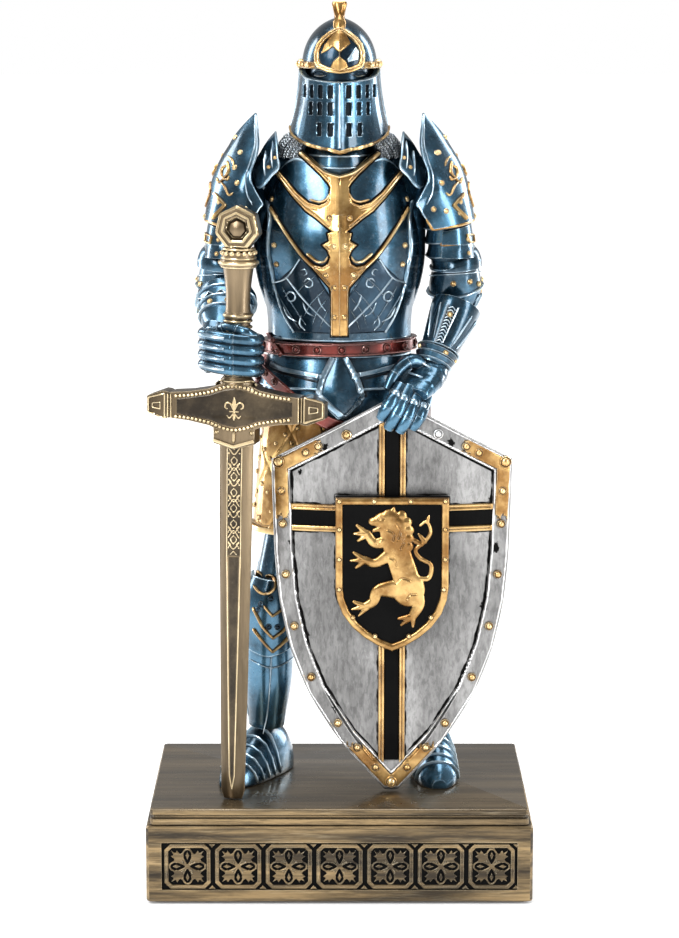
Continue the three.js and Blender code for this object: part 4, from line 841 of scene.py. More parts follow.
def shield_pieces():
    low, high = box("shield_rim")
    cx, tip = (low[0] + high[0]) / 2, low[2]
    field = View(["shield_board"], 0, 1.6)
    edge = View(["shield_rim", "shield_board"], 0, 0.6, smooth=0)
    smooth_copy("shield_board", SILVER, levels=1)
    smooth_copy("shield_rim", SILVER, levels=1)
    outline = polygon(borders("shield_board")[0][:, [0, 2]])
    corners = (low[0] - 1, tip - 1), (high[0] + 1, high[2] + 1)
    bead = lambda a, z: np.abs(outline(a, z) + 5.75) - 0.42
    patch("shield_inner_bead", edge, bead, *corners, 0.5, SILVER_PALE, step=0.3, bevel=0.42, lift=0.1)
    shadow = lambda a, z: np.abs(outline(a, z) + 6.75) - 0.34 - 0.3 * ragged(z * 0.16 + 0.1 * a)
    patch("shield_inner_shadow", field, shadow, *corners, 0.06, BLACK, step=0.3, bevel=0.2, lift=0.02)
    lip = lambda a, z: np.abs(outline(a, z) + 0.45) - 0.3
    patch("shield_outer_lip", edge, lip, *corners, 0.25, SILVER_PALE, step=0.3, bevel=0.3)

    band = lambda a, z: np.maximum(outline(a, z) + 0.5, -5.3 - outline(a, z))
    left = overlap(band, lambda a, z: a - (cx - 26.4 + ragged(z, 1.6)), lambda a, z: tip + 101.4 + ragged(a, 1.6) - z)
    foot = overlap(band, lambda a, z: z - (tip + 16.6 + ragged(a * 1.3, 1.8)))
    mounts = any_of(left, lambda a, z: left(2 * cx - a, z), foot)
    patch("shield_mounts", edge, mounts, *corners, 0.5, GOLD, step=0.28, bevel=0.4)

    spots = [(-31.2, 125.9), (-39.4, 98.8), (-37.3, 80.2), (-33.8, 61.3), (-27.8, 42.7), (-19, 25.5), (-12.6, 16),
             (-6.3, 8.3), (-39.6, 111), (-26.5, 128)]
    heads, on_edge = Soup(), []
    for across, up in [*spots, *mirror(spots)]:
        a, z = np.array(cx + across), np.array(tip + up)
        for _ in range(3):  # onto the line 3 mm inside the outline
            d = outline(a, z)
            slope = np.array([outline(a + 0.2, z) - outline(a - 0.2, z),
                              outline(a, z + 0.2) - outline(a, z - 0.2)]) / 0.4
            a, z = a - (d + 3.0) * slope[0], z - (d + 3.0) * slope[1]
        on_edge.append((a, z))
    rivets(heads, edge, on_edge, 1.2, 1.15, 0.35, 0.4, field)
    rivets(heads, edge, [(cx - 40.6, tip + 121.6), (cx + 40.6, tip + 121.6)], 1.75, 1.4, 0.45, 0.5, field)
    rivets(heads, edge, [(cx, tip + 3.4)], 1.7, 1.4, 0.45, 0.5, field)
    rivets(heads, edge, [(cx - 16.4, tip + 132.2)], 1.2, 1.0, 0.6, 0.2, field)
    heads.make("shield_rivets", GOLD_PALE)
    plain = rivets(Soup(), edge, [(cx + 16.4, tip + 132.6)], 1.2, 1.0, 0.6, 0.2, field)
    plain.make("shield_rivet_silver", SILVER_PALE)

    beam = (tip + 96.3, tip + 106.5)
    inside = lambda a, z: outline(a, z) + np.where(z < tip + 30, 4.4, 6.1)
    whole = overlap(any_of(rectangle(cx - 4.9, tip, cx + 4.9, tip + 150),
                           rectangle(cx - 60, beam[0], cx + 60, beam[1])), inside)
    core = any_of(rectangle(cx - 2.6, tip, cx + 2.6, tip + 150),
                  rectangle(cx - 60, beam[0] + 2.35, cx + 60, beam[1] - 2.35))
    patch("cross_black", field, overlap(whole, core), *corners, 0.35, BLACK, step=0.35, bevel=0.2,
          replaces=("shield_cross",))
    rails = without(whole, core)
    crown = lambda a, z: -0.35 * np.exp(-(((rails(a, z) + 1.1) / 0.16) ** 2))
    patch("cross_gilt_edges", field, rails, *corners, 1.0, GOLD, step=0.22, bevel=0.45, crown=crown)

    lower = [(20.4, 76.5), (19.8, 72.2), (17.8, 66.9), (14.3, 62.1), (10, 58.3), (5, 55.2), (0, 53.2)]
    half = [(-20.4, 110), (20.4, 110), *lower, *mirror(lower[:-1])[::-1]]
    small = View(["escutcheon"], 0, 1.5, smooth=1)
    # Thin black ragged lines beside the cross and the badge: partly the real black wash, partly painted shade along
    # the raised rails.
    beside = lambda a, z: np.abs(np.minimum(whole(a, z), polygon(half)(a - cx, z - tip))
                                 - 0.3) - 0.14 - 0.22 * ragged(a * 0.17 + z * 0.21)
    patch("shield_wash_and_shade", field, overlap(beside, lambda a, z: outline(a, z) + 6), *corners, 0.05,
          BLACK, step=0.3, bevel=0.2, lift=0.02)
    flecks = np.array([(-33.1, 118), (-24, 127.5), (21, 129), (35.6, 108), (-36.4, 92), (33.4, 68), (-30.4, 58),
                       (24.8, 40), (-20.4, 31), (15.4, 24), (-8, 14), (37.6, 90)])
    marks = [disc(cx + x, tip + z, 0.5 + 0.3 * (k % 3), 1.6) for k, (x, z) in enumerate(flecks)]
    worn_spots = lambda a, z: any_of(*marks)(a, z) + 0.35 * ragged(a * 2.1 + z * 1.3)
    patch("shield_dark_flecks", edge, worn_spots, *corners, 0.04, BLACK, step=0.25, bevel=0.2,
          lift=0.02)
    badge = moved(polygon(half), cx, tip)
    span = (cx - 21, tip + 52), (cx + 21, tip + 111)
    patch("escutcheon_field", small, badge, *span, 0.3, BLACK, step=0.4, bevel=0.3, sink=3.4,
          replaces=("escutcheon",))
    frame_shape = without(badge, inset(badge, 2.75))
    crown = lambda a, z: 0.25 * np.clip(1 - np.abs(badge(a, z) + 1.4) / 1.1, 0, 1)
    patch("escutcheon_frame", small, frame_shape, *span, 1.0, GOLD, step=0.25, bevel=0.5, crown=crown)
    pins = ((-19, 108.7), (19, 108.7), (-6.5, 108.7), (6.5, 108.7), (-19, 98.4), (19, 98.4), (-19, 87.4), (19, 87.4),
            (-19, 76.3), (18.6, 76.3), (-14.1, 65.9), (14.1, 65.9), (-6.1, 58.9), (6.1, 58.9))
    pins = [(cx + across, tip + up) for across, up in pins]
    rivets(Soup(), small, pins, 0.8, 0.75, 0.2, lift=1.0).make("escutcheon_rivets", GOLD_PALE)

    flat = View(["heraldic_beast", "escutcheon"], 0, 2.0, smooth=3)
    beast = moved(any_of(*[stroke(*limb) for limb in BEAST_LIMBS],
                         *[disc(x, z, 2.0) for x, z in ((3.4, 18.6), (5.2, 16.2), (6, 13.2), (6, 10.2), (5.8, 7.2))],
                         disc(-0.8, 17.2, 3.9)), cx, tip + 84.8)
    scratches = ([(-1.6, 13.6), (0.6, 12.2), (0.2, 9.4)], [(1.6, 15.6), (2.8, 13), (2, 10)],
                 [(3.6, 12), (4, 9), (3, 6.6)], [(-4.6, 17.4), (-3.8, 17.9), (-3, 17.4)],
                 [(1.4, -6), (3.6, -4.2), (6.4, -5)], [(-1, 3.4), (1, 2.4), (1.6, 0)],
                 [(5.4, -12), (6.4, -10.4), (8.6, -10.2)], [(-5.4, 8.6), (-4.2, 10)])
    cuts = moved(any_of(*[line(p, 0.34) for p in scratches]), cx, tip + 84.8)
    worn = lambda a, z: -0.4 * np.clip(1 - cuts(a, z) / 0.3, 0, 1)
    patch("beast_relief", flat, beast, (cx - 16, tip + 61), (cx + 16, tip + 108), 0.9, GOLD, step=0.2, bevel=2.2,
          crown=worn, sink=0.8, replaces=("heraldic_beast",), slot="gilt_trim", lift=-0.2)


# ---------------------------------------------------------------- plinth


def two_ways(piece, *materials):
    """Gives a piece its second material on faces that look sideways and its third on those that look up."""
    for material in materials:
        piece.data.materials.append(material)
    for face in piece.data.polygons:
        if abs(face.normal.x) > 0.7:
            face.material_index = 1
        elif len(materials) > 1 and face.normal.z > 0.7:
            face.material_index = 2


def tile(half):
    """One frieze tile: an eight-cornered frame, four looped petals, four leaves and a notch to each neighbour."""
    k, c = half - 0.5, 2.2
    eight = polygon([(-k + c, -k), (k - c, -k), (k, -k + c), (k, k - c), (k - c, k), (-k + c, k), (-k, k - c),
                     (-k, -k + c)])
    petal = line([(0, 0.5), (1.5, 2.8), (1.75, 4.6), (0.9, 6.1), (0, 6.4), (-0.9, 6.1), (-1.75, 4.6), (-1.5, 2.8)],
                 0.7, closed=True)
    seed = polygon([(0, 2.4), (0.75, 4.1), (0, 5.5), (-0.75, 4.1)])
    leaf = polygon([(0, 1.7), (0.5, 3), (1.9, 3.6), (2.5, 4.9), (1.4, 5.2), (1.6, 6.9), (0.5, 6.6), (0, 8.3),
                    (-0.5, 6.6), (-1.6, 6.9), (-1.4, 5.2), (-2.5, 4.9), (-1.9, 3.6), (-0.5, 3)])
    parts = [without(eight, inset(eight, 1.5)), disc(0, 0, 0.9)]
    for turn in range(4):
        parts += [rotated(petal, 90 * turn), rotated(seed, 90 * turn), rotated(leaf, 45 + 90 * turn)]
    for side in (-1, 1):
        parts.append(polygon([(half - 1.3, side * (half - 0.5)), (half + 1.3, side * (half - 0.5)),
                              (half, side * (half - 1.9))]))
    groove = lambda a, z: -0.14 * np.exp(-(((eight(a, z) + 0.75) / 0.14) ** 2))
    return any_of(*parts), groove


def plinth_pieces():
    two_ways(smooth_copy("plinth_block", BRONZE, levels=0, bevel=0.4), BRONZE_SIDE)
    two_ways(smooth_copy("plinth_top", BRONZE, levels=0, bevel=0.3), BRONZE_SIDE, BRONZE_TOP)
    smooth_copy("bottom_plate", BLACK, slot="plinth_underside", levels=0)
    smooth_copy("felt_pad", FELT, levels=0)
    for side, _ in SIDES:
        smooth_copy("foot_screw_" + side, STEEL, slot="screw_steel", levels=0)
    for node, azimuth, count in (("frieze_front", 0, 7), ("frieze_back", 180, 7), ("frieze_right", -90, 4),
                                 ("frieze_left", 90, 4)):
        low, high = box(node)
        smooth_copy(node, BLACK, slot="plinth_bronze", levels=0, name=node + "_ground")
        view = View([node], azimuth, 2.0, smooth=0)
        middle, height = float((low + high) / 2 @ view.right), (high[2] - low[2]) / 2
        pitch = abs((high - low) @ np.abs(view.right)) / count
        shape, groove = tile(height + 0.3)
        up = (low[2] + high[2]) / 2
        points, faces = relief(view, moved(shape, middle, up), (middle - 10, low[2] + 0.1),
                               (middle + 10, high[2] - 0.1), 0.42, bevel=0.3, step=0.17,
                               crown=moved(groove, middle, up), lift=0.0)
        tiles = Soup()
        for i in range(count):
            shift = (i - (count - 1) / 2) * pitch
            tiles.add(points + shift * view.right, faces)
        tiles.make(node + "_tiles", BRONZE if count == 7 else BRONZE_SIDE)


# ---------------------------------------------------------------- sword and pen

SWORD_VIEW = -12.0


def sword_pieces():
    lean = frame["joints"][0]["axis"][0] / frame["joints"][0]["axis"][2]
    low, high = box("crossguard")
    guard = View(["crossguard"], SWORD_VIEW, 0.6, smooth=0)
    middle = (low + high) / 2
    across0, up0 = float(middle @ guard.right), high[2] - 11.0  # the middle of the guard, without its ends

    def at(points):
        p = np.asarray(points, float)
        return np.stack([p[:, 0] + across0 + p[:, 1] * lean, p[:, 1] + up0], 1)

    smooth_copy("blade", BRASS, levels=0, bevel=0.15)
    smooth_copy("crossguard", BRASS, levels=0, bevel=0.3)
    smooth_copy("sword_grip", BRASS, levels=1)
    smooth_copy("pen_barrel", BRASS, "pen", levels=1)
    smooth_copy("pommel", BRASS, "pen", levels=0, bevel=0.3)
    smooth_copy("pen_nose", STEEL, "pen", levels=1)
    smooth_copy("ink_refill", STEEL, "pen", levels=1)

    rope = Soup()
    for flip in (1, -1):
        p = curve([(-22, flip * 3.6), (-16, flip * 4.1), (-9, flip * 5.4), (-4, flip * 7.2), (0, flip * 7.9),
                   (4, flip * 7.2), (9, flip * 5.4), (16, flip * 4.1), (22, flip * 3.6)], 0.1)
        for i in range(8, len(p) - 8, 15):
            rope.add(*ribbon(guard, at(p[i - 7:i + 8:2]), 1.25, 0.75, taper=0.35, step=0.12, straight=True))
    petal = [(0.3, -0.6), (1.4, 1.6), (2.9, 1.7), (3.3, 0.3), (2.5, -0.3)]
    root = [(0.2, -1.8), (1.6, -3.6), (2.4, -2.8)]
    lily = [([(0, -1.2), (0, 3.6)], 0.8, 1.7, 0.5), (mirror(petal), 0.6, 0.9, 0.6), (petal, 0.6, 0.9, 0.6),
            ([(-1.5, -1.3), (1.5, -1.3)], 0.7, 0.7, 0.7), ([(0, -1.4), (0, -4.2)], 0.8, 1.3, 0.4),
            (mirror(root), 0.6, 0.7, 0.5), (root, 0.6, 0.7, 0.5)]
    flower = any_of(*[stroke(*s) for s in lily])
    rope.add(*relief(guard, moved(flower, across0, up0, lean), (across0 - 5, up0 - 6), (across0 + 5, up0 + 6), 0.55,
                     bevel=0.5, step=0.14))
    rope.make("guard_rope_and_lily", BRASS_PALE)
    below = [(-21, -2.6), (-9, -4.4), (-4, -6.2), (0, -6.9), (4, -6.2), (9, -4.4), (21, -2.6)]
    inlay = polygon([*below, *((-x, -z) for x, z in below)])
    patch("guard_ground", guard, moved(inlay, across0, up0, lean), (across0 - 22, up0 - 8), (across0 + 22, up0 + 8),
          0.12, BRASS_DARK, step=0.4, bevel=0.4)
    blocks = Soup()
    for sign in (-1, 1):
        for u in (23.2, 24.3):
            blocks.add(*ribbon(guard, at([(sign * u, -4.3), (sign * u, 4.3)]), 0.8, 0.6, straight=True))
        ends = [(sign * 25.4, -4.4), (sign * 31.6, -2.7), (sign * 31.6, 2.7), (sign * 25.4, 4.4)]
        blocks.add(*ribbon(guard, at(ends), 0.7, 0.45, closed=True, straight=True))
        inner = [(sign * 27, -1.2), (sign * 30, -0.8), (sign * 30, 0.8), (sign * 27, 1.2)]
        blocks.add(*ribbon(guard, at(inner), 0.5, 0.4, closed=True, straight=True))
    hex_line = [(-7.2, 8.2), (-5.4, 9.4), (5.4, 9.4), (7.2, 8.2)]
    blocks.add(*ribbon(guard, at(hex_line), 0.7, 0.5, straight=True))
    blocks.add(*ribbon(guard, at([(-7.4, -11.6), (0, -13.9), (7.4, -11.6)]), 1.2, 0.8, FLAT, straight=True))
    blocks.add(*ribbon(guard, at([(0, -8.2), (0, -12.4)]), 1.3, 0.8, taper=0.8))
    rivets(blocks, guard, at([(-6.4, -6.4), (6.4, -6.4), (-6.4, -8.8), (6.4, -8.8)]), 0.65, 0.55, 0.25)
    blocks.make("guard_frames", BRASS_PALE)

    blade_low = box("blade")[0]
    blade = View(["blade"], SWORD_VIEW, 0.8, smooth=0)
    length = up0 - blade_low[2]
    span = (across0 - 5, up0 - 56), (across0 + 5, up0 - 12)
    ground = moved(rectangle(-2.5, -53.5, 2.5, -13.6), across0, up0, lean)
    patch("blade_ornament_ground", blade, ground, *span, 0.08, BRASS_DARK,
          step=0.3, bevel=0.2)
    motif = []
    for k in range(7):
        z = -16.4 - 5.7 * k
        arms = [([(-1.9, z + 1.9), (0, z - 0.4), (1.9, z + 1.9)], 0.55),
                ([(-1.9, z - 2.0), (0, z + 0.6), (1.9, z - 2.0)], 0.5)]
        loop = [([(0, z - 1.2), (1.1, z - 2.6), (0, z - 4.1), (-1.1, z - 2.6), (0, z - 1.2)], 0.5),
                ([(-1.9, z - 3.6), (-1.0, z - 4.4), (-1.7, z - 5.2)], 0.45),
                ([(1.9, z - 3.6), (1.0, z - 4.4), (1.7, z - 5.2)], 0.45)]
        motif += [line(p, w) for p, w in (arms if k % 2 else arms[:1]) + loop]
        motif += [disc(0, z + 1.6, 0.42), disc(-1.9, z, 0.36), disc(1.9, z, 0.36)]
    chain = moved(overlap(any_of(*motif), rectangle(-2.3, -53.2, 2.3, -13.8)), across0, up0, lean)
    patch("blade_ornament", blade, chain, *span, 0.38, BRASS_PALE,
          step=0.14, bevel=0.3)
    ridges = Soup()
    for side in (-1, 1):
        ridges.add(*ribbon(blade, at([(side * 2.55, -13.6), (side * 2.4, -54)]), 0.4, 0.3, straight=True))
        ridges.add(*ribbon(blade, at([(side * 2.4, -54), (side * 0.9, -length + 9), (0, -length + 4)]), 0.55, 0.3,
                           straight=True))
    ridges.make("blade_ridges", BRASS_PALE)
    fuller = moved(polygon([(-1.9, -54), (1.9, -54), (0.5, -length + 10), (0, -length + 6), (-0.5, -length + 10)]),
                   across0, up0, lean)
    patch("blade_fuller", blade, fuller, (across0 - 5, blade_low[2]), (across0 + 5, up0 - 53), 0.05, BRASS_DARK,
          step=0.3, bevel=0.2)

    hilt = View(["pen_barrel", "pommel", "sword_grip"], SWORD_VIEW, 0.5, smooth=0)
    axis = unit(np.array([lean, 0, 1.0]))
    foot = middle + axis * (up0 - middle[2])

    def ring(soup, height, radius, bead, tilt):
        """A bead round the leaning hilt; tilt is how far its left side stands above the middle."""
        angle = np.linspace(0, 2 * math.pi, 40, endpoint=False)
        circle = np.stack([radius * np.cos(angle), radius * np.sin(angle), tilt * np.cos(angle)], 1)
        soup.add(*tube(foot + axis * height + circle, bead, closed=True, sides=8))

    pen = Soup()
    c = foot + axis * 54.6
    for k in range(16):
        way = np.array([math.cos(k * math.pi / 8), math.sin(k * math.pi / 8), 0])
        pen.add(*dome(c + way * 5.6, way, 0.95, 1.0))
    for height, radius, bead in ((56, 5.4, 0.45), (52.8, 5.9, 0.4), (51.2, 6.7, 0.6), (49.8, 5.9, 0.4),
                                 (32.6, 5.0, 0.5)):
        ring(pen, height, radius, bead, -lean * radius)
    low_p, high_p = box("pommel")
    centre = (low_p + high_p) / 2
    for radius, lift, width in ((7.3, 0.05, 1.0), (5.4, 0.0, 0.8), (3.9, -0.2, 0.5)):
        turns = [math.radians(90 + 360 / 7 * k) for k in range(7)]
        corners = [(float(centre @ hilt.right) + radius * math.cos(t), centre[2] - 0.3 + radius * math.sin(t))
                   for t in turns]
        pen.add(*ribbon(hilt, corners, width, 0.5, FLAT, closed=True, straight=True, lift=lift))
    pen.make("pen_beads_and_frames", BRASS_PALE, body="pen")
    wraps = Soup()
    for height in (13.4, 28.4, 30.6):
        ring(wraps, height, 4.75, 0.5, -lean * 4.75)
    for height, tilt in ((15.6, 1.2), (26.6, -1.0)):
        ring(wraps, height, 4.6, 0.5, tilt)
    for height in (28.2, 25.4):
        wraps.add(*dome(foot + axis * height + hilt.out * 4.7, hilt.out, 1.0, 0.9, 0.3))
    wraps.make("grip_bands", BRASS_PALE)


# ---------------------------------------------------------------- head and neck


def helmet_pieces():
    low, high = box("visor")
    skull_low, skull_high = box("helmet_skull")
    head_y = (skull_low[1] + skull_high[1]) / 2
    shell = Round(["visor", "helmet_neck_guard", "helmet_skull"], (0, head_y, 0), 14.0, rows=150)
    z0 = high[2] - 297.2  # the holes are drawn for a visor with its top at 297.2
    # Under the visor plate, so that its slots show near-black painted shade.
    smooth_copy("visor", INSIDE)
    smooth_copy("helmet_neck_guard", BLUE)
    smooth_copy("helmet_skull", BLUE)
    reach = math.radians(96) * shell.radius
    t = np.linspace(-1, 1, 41)
    top = np.stack([t * reach, high[2] - 4.6 * (1 - t**2)], 1)
    foot = np.stack([t * reach, low[2] + 7.0 * np.abs(t) ** 1.2], 1)
    outline = polygon(np.concatenate([top, foot[::-1]]))
    slots = []
    for up, places in ((289.2, (3.0, 6.4, 9.4, 11.8)), (283.2, (3.0, 6.6, 9.7)), (276.0, (3.0, 6.8))):
        for k, x in enumerate(places):
            width = 0.74 - 0.09 * k
            slots += [rectangle(s * x - width, up + z0 - 2.2, s * x + width, up + z0 + 2.2) for s in (-1, 1)]
    holes = shell.seen(any_of(*slots))
    keel = lambda a, z: 0.55 * np.exp(-np.abs(a / 0.75) ** 1.6)
    patch("visor_plate", shell, without(outline, holes), (-reach - 1, low[2] - 1), (reach + 1, high[2] + 1), 0.75,
          BLUE, step=0.22, bevel=0.22, crown=keel, sink=0.2)
    edges = Soup()
    edges.add(*ribbon(shell, top, 0.7, 1.1, lift=0.1))
    edges.add(*ribbon(shell, [(0, low[2] + 1.2), (0, high[2] - 5.6)], 0.42, 0.55, lift=0.95))
    for side in (-1, 1):
        edges.add(*ribbon(shell, [(side * (reach - 0.4), low[2] + 7.0), (side * (reach - 0.4), high[2] - 0.4)], 0.8,
                          1.1))
    edges.make("visor_worn_edges", PALE)
    gilt = Soup()
    gilt.add(*ribbon(shell, foot + [0, 0.45], 1.15, 1.5, lift=0.1))
    band = 298.3 + z0
    ring_on(gilt, shell, band, 2.5, 0.75, GROOVED)
    tail = np.linspace(math.radians(100), math.radians(260), 60) * shell.radius
    rise = 4.5 * np.abs((tail / shell.radius - math.pi) / math.radians(80))
    gilt.add(*ribbon(shell, np.stack([tail, box("helmet_neck_guard")[0][2] + 0.9 + rise], 1), 1.1, 1.0))
    gilt.make("helmet_gilt_edges", GOLD)
    heads = Soup()
    rivets(heads, shell, [(s * 12, band) for s in (-1, 1)], 0.85, 0.8, 0.3, lift=0.5)
    rivets(heads, shell, [(s * 20.6, band) for s in (-1, 1)], 1.45, 1.7, 0.3, lift=0.3)
    rivets(heads, shell, [(s * (12 + 8 * k), band) for s in (-1, 1) for k in (2, 3)], 0.9, 0.8, 0.25, lift=0.5)
    rivets(heads, shell, [(s * 15.8, band) for s in (-1, 1)], 0.6, 0.5, lift=0.5)
    heads.make("helmet_rivets", GOLD_PALE)
    face = View(["neck_and_head_core"], 0, 0.5, smooth=1)
    slit = [[(-9.4, 295.0), (-8.2, 296.2), (-6.0, 296.5), (-3.6, 295.5)],
            [(-8.8, 294.7), (-6.4, 294.3), (-4.4, 294.9)], [(-6.8, 295.3), (-5.6, 295.3)]]
    lines(Soup(), face, slit, 0.5, 0.5, lift=0.15, taper=0.8).make("sight_slit_glints", PALE)
    front = View(["brow_plate"], 0, 0.5, smooth=1)
    smooth_copy("brow_plate", BLUE_DARK, levels=1)
    half = [(-4.2, 296.1), (-7.7, 297.5), (-8.9, 299.4), (-9.0, 303.0), (-8.1, 306.0), (-6.4, 308.2), (-4.0, 310.1),
            (-1.6, 311.3)]
    frame_line = [(0, 295.6), *half, (0, 311.9), *mirror(half)[::-1]]
    inner = [(0, 297.4), (-3.8, 297.9), (-6.5, 299.1), (-7.2, 301.0), (-7.1, 303.2), (-6.3, 305.2), (-4.8, 307.1),
             (-2.5, 308.8)]
    inner_line = [*inner, (0, 310.2), *mirror(inner[1:])[::-1]]
    span = (-10, 295), (10, 313)
    oval = polygon(frame_line)
    border = without(oval, polygon(inner_line))
    seam = lambda a, z: -0.4 * np.exp(-(((oval(a, z) + 1.05) / 0.2) ** 2))
    patch("brow_frame", front, border, *span, 0.85, GOLD_PALE, step=0.15, bevel=0.45, crown=seam)
    leaf = polygon([(0, 310.6), (-2.6, 308.6), (-5.2, 305.6), (-6.5, 302.4), (-4.6, 303.4), (-2.4, 304.9), (0, 302.7),
                    (2.0, 304.3), (3.9, 306.0), (2.4, 308.6)])
    drop = polygon([(0, 302.0), (-2.3, 299.9), (-3.2, 297.9), (0, 296.4), (3.2, 297.9), (2.3, 299.9)])
    patch("brow_leaf", front, any_of(leaf, drop), *span, 0.5, GOLD, step=0.15, bevel=0.3, crown=lambda a,
          z: 0.9 * np.clip(1 - np.abs(a) / 3.6, 0, 1))
    spark = any_of(polygon([(-0.2, 302.0), (-2.1, 300.3), (-2.2, 299.2), (-0.2, 300.2)]),
                   polygon([(5.6, 304.8), (6.9, 303.6), (6.6, 300.4), (3.0, 299.6), (2.6, 300.6)]))
    patch("brow_glints", front, spark, *span, 0.45, PALE, step=0.15, bevel=0.5)
    patch("brow_worn_ridge", front, rectangle(-0.2, 296.6, 0.2, 310.6), *span, 1.45, GOLD_PALE, step=0.13,
          bevel=0.2)

    top = box("crest_finial")[1][2] - 320.7
    points, faces = loft([(0, -17.0, 309.9, 0.4, 0.5), (0, -16.3, 311.2, 1.9, 1.1), (0, -15.0, 313.0, 2.3, 1.5),
                          (0, -13.6, 314.6, 1.85, 1.5), (0, -12.9, 315.7, 1.9, 1.45), (0, -12.2, 317.4, 2.25, 1.5),
                          (0, -11.9, 319.2, 2.65, 1.4), (0, -11.9, 320.1, 2.6, 1.1), (0, -11.9, 320.6, 1.9, 0.6)],
                         sides=40, step=0.25, shape=lambda share, angle: 1
                         + 0.16 * np.exp(-(((angle - math.pi / 2) / 0.3) ** 2))
                         + 0.16 * np.exp(-(((angle - 3 * math.pi / 2) / 0.3) ** 2))
                         - 0.06 * np.cos(8 * angle) * np.clip(share * 2 - 1, 0, 1))
    make("crest_fan", points + [0, 0, top], faces, GOLD, replaces=("crest_finial",))


def rings_on(view, spots, major, minor, lean=0.5):
    """Small linked rings laid over a surface, every second one tilted the other way."""
    soup = Soup()
    big, small = np.linspace(0, 2 * math.pi, 9, endpoint=False), np.linspace(0, 2 * math.pi, 5, endpoint=False)
    faces = grid_faces(9, 5, wrap=True, close=True)
    for number, (a, z) in enumerate(spots):
        a, z = np.array(a), np.array(z)
        n = view.normal(a, z)
        side = unit(np.cross([0, 0, 1.0], n))
        up = np.cross(n, side)
        tilt = lean if number % 2 else -lean
        n, up = n * math.cos(tilt) + up * math.sin(tilt), up * math.cos(tilt) - n * math.sin(tilt)
        way = np.cos(big)[:, None] * side + np.sin(big)[:, None] * up
        points = view.place(a, z, 0.3) + way[:, None] * (major + minor * np.cos(small))[None, :,
                None] + (minor * np.sin(small))[None, :, None] * n
        soup.add(points, faces)
    return soup


def neck_pieces():
    # The head core shows in the eye slit; its dark blue is painted shade for the inside of the helmet.
    smooth_copy("neck_and_head_core", BLUE_DARK)
    gorget = Round(["neck_and_head_core"], (0, -1.8, 0), 12, rows=60)
    skin = gorget.skin(gorget.low + 0.3, gorget.low + 12.6, rows=20, columns=90, lift=lambda a, z: 0.5 + 0 * a)
    make("gorget", *skin, BLUE)
    collar = Soup()
    for up in (4.2, 8.2):
        ring_on(collar, gorget, gorget.low + up, 0.7, 0.4, lift=0.5)
    collar.make("gorget_edges", PALE)
    smooth_copy("mail_collar", MAIL_DARK)
    radius, columns, rows = 20, 180, 90
    mail = Round(["mail_collar"], (0, 1, 255), radius, ball=True, columns=columns, rows=rows)
    spots, row = [], 0
    z = mail.low + 0.4
    while z < mail.high - 0.2:
        pitch = 1.02 / max(0.35, math.cos(z / radius)) * radius / (radius - 3)
        count = int(2 * math.pi * radius / pitch)
        for k in range(count):
            a = ((k + 0.5 * (row % 2)) / count - 0.5) * 2 * math.pi * radius
            i = int(round(a / radius / (2 * math.pi) * columns)) % columns
            j = int(round((z - mail.low) / (mail.high - mail.low) * (rows - 1)))
            if mail.hit[i, j]:
                spots.append((a, z))
        z += 0.8
        row += 1
    rings_on(mail, spots, 0.47, 0.17).make("mail_rings", MAIL)


# ---------------------------------------------------------------- cuirass


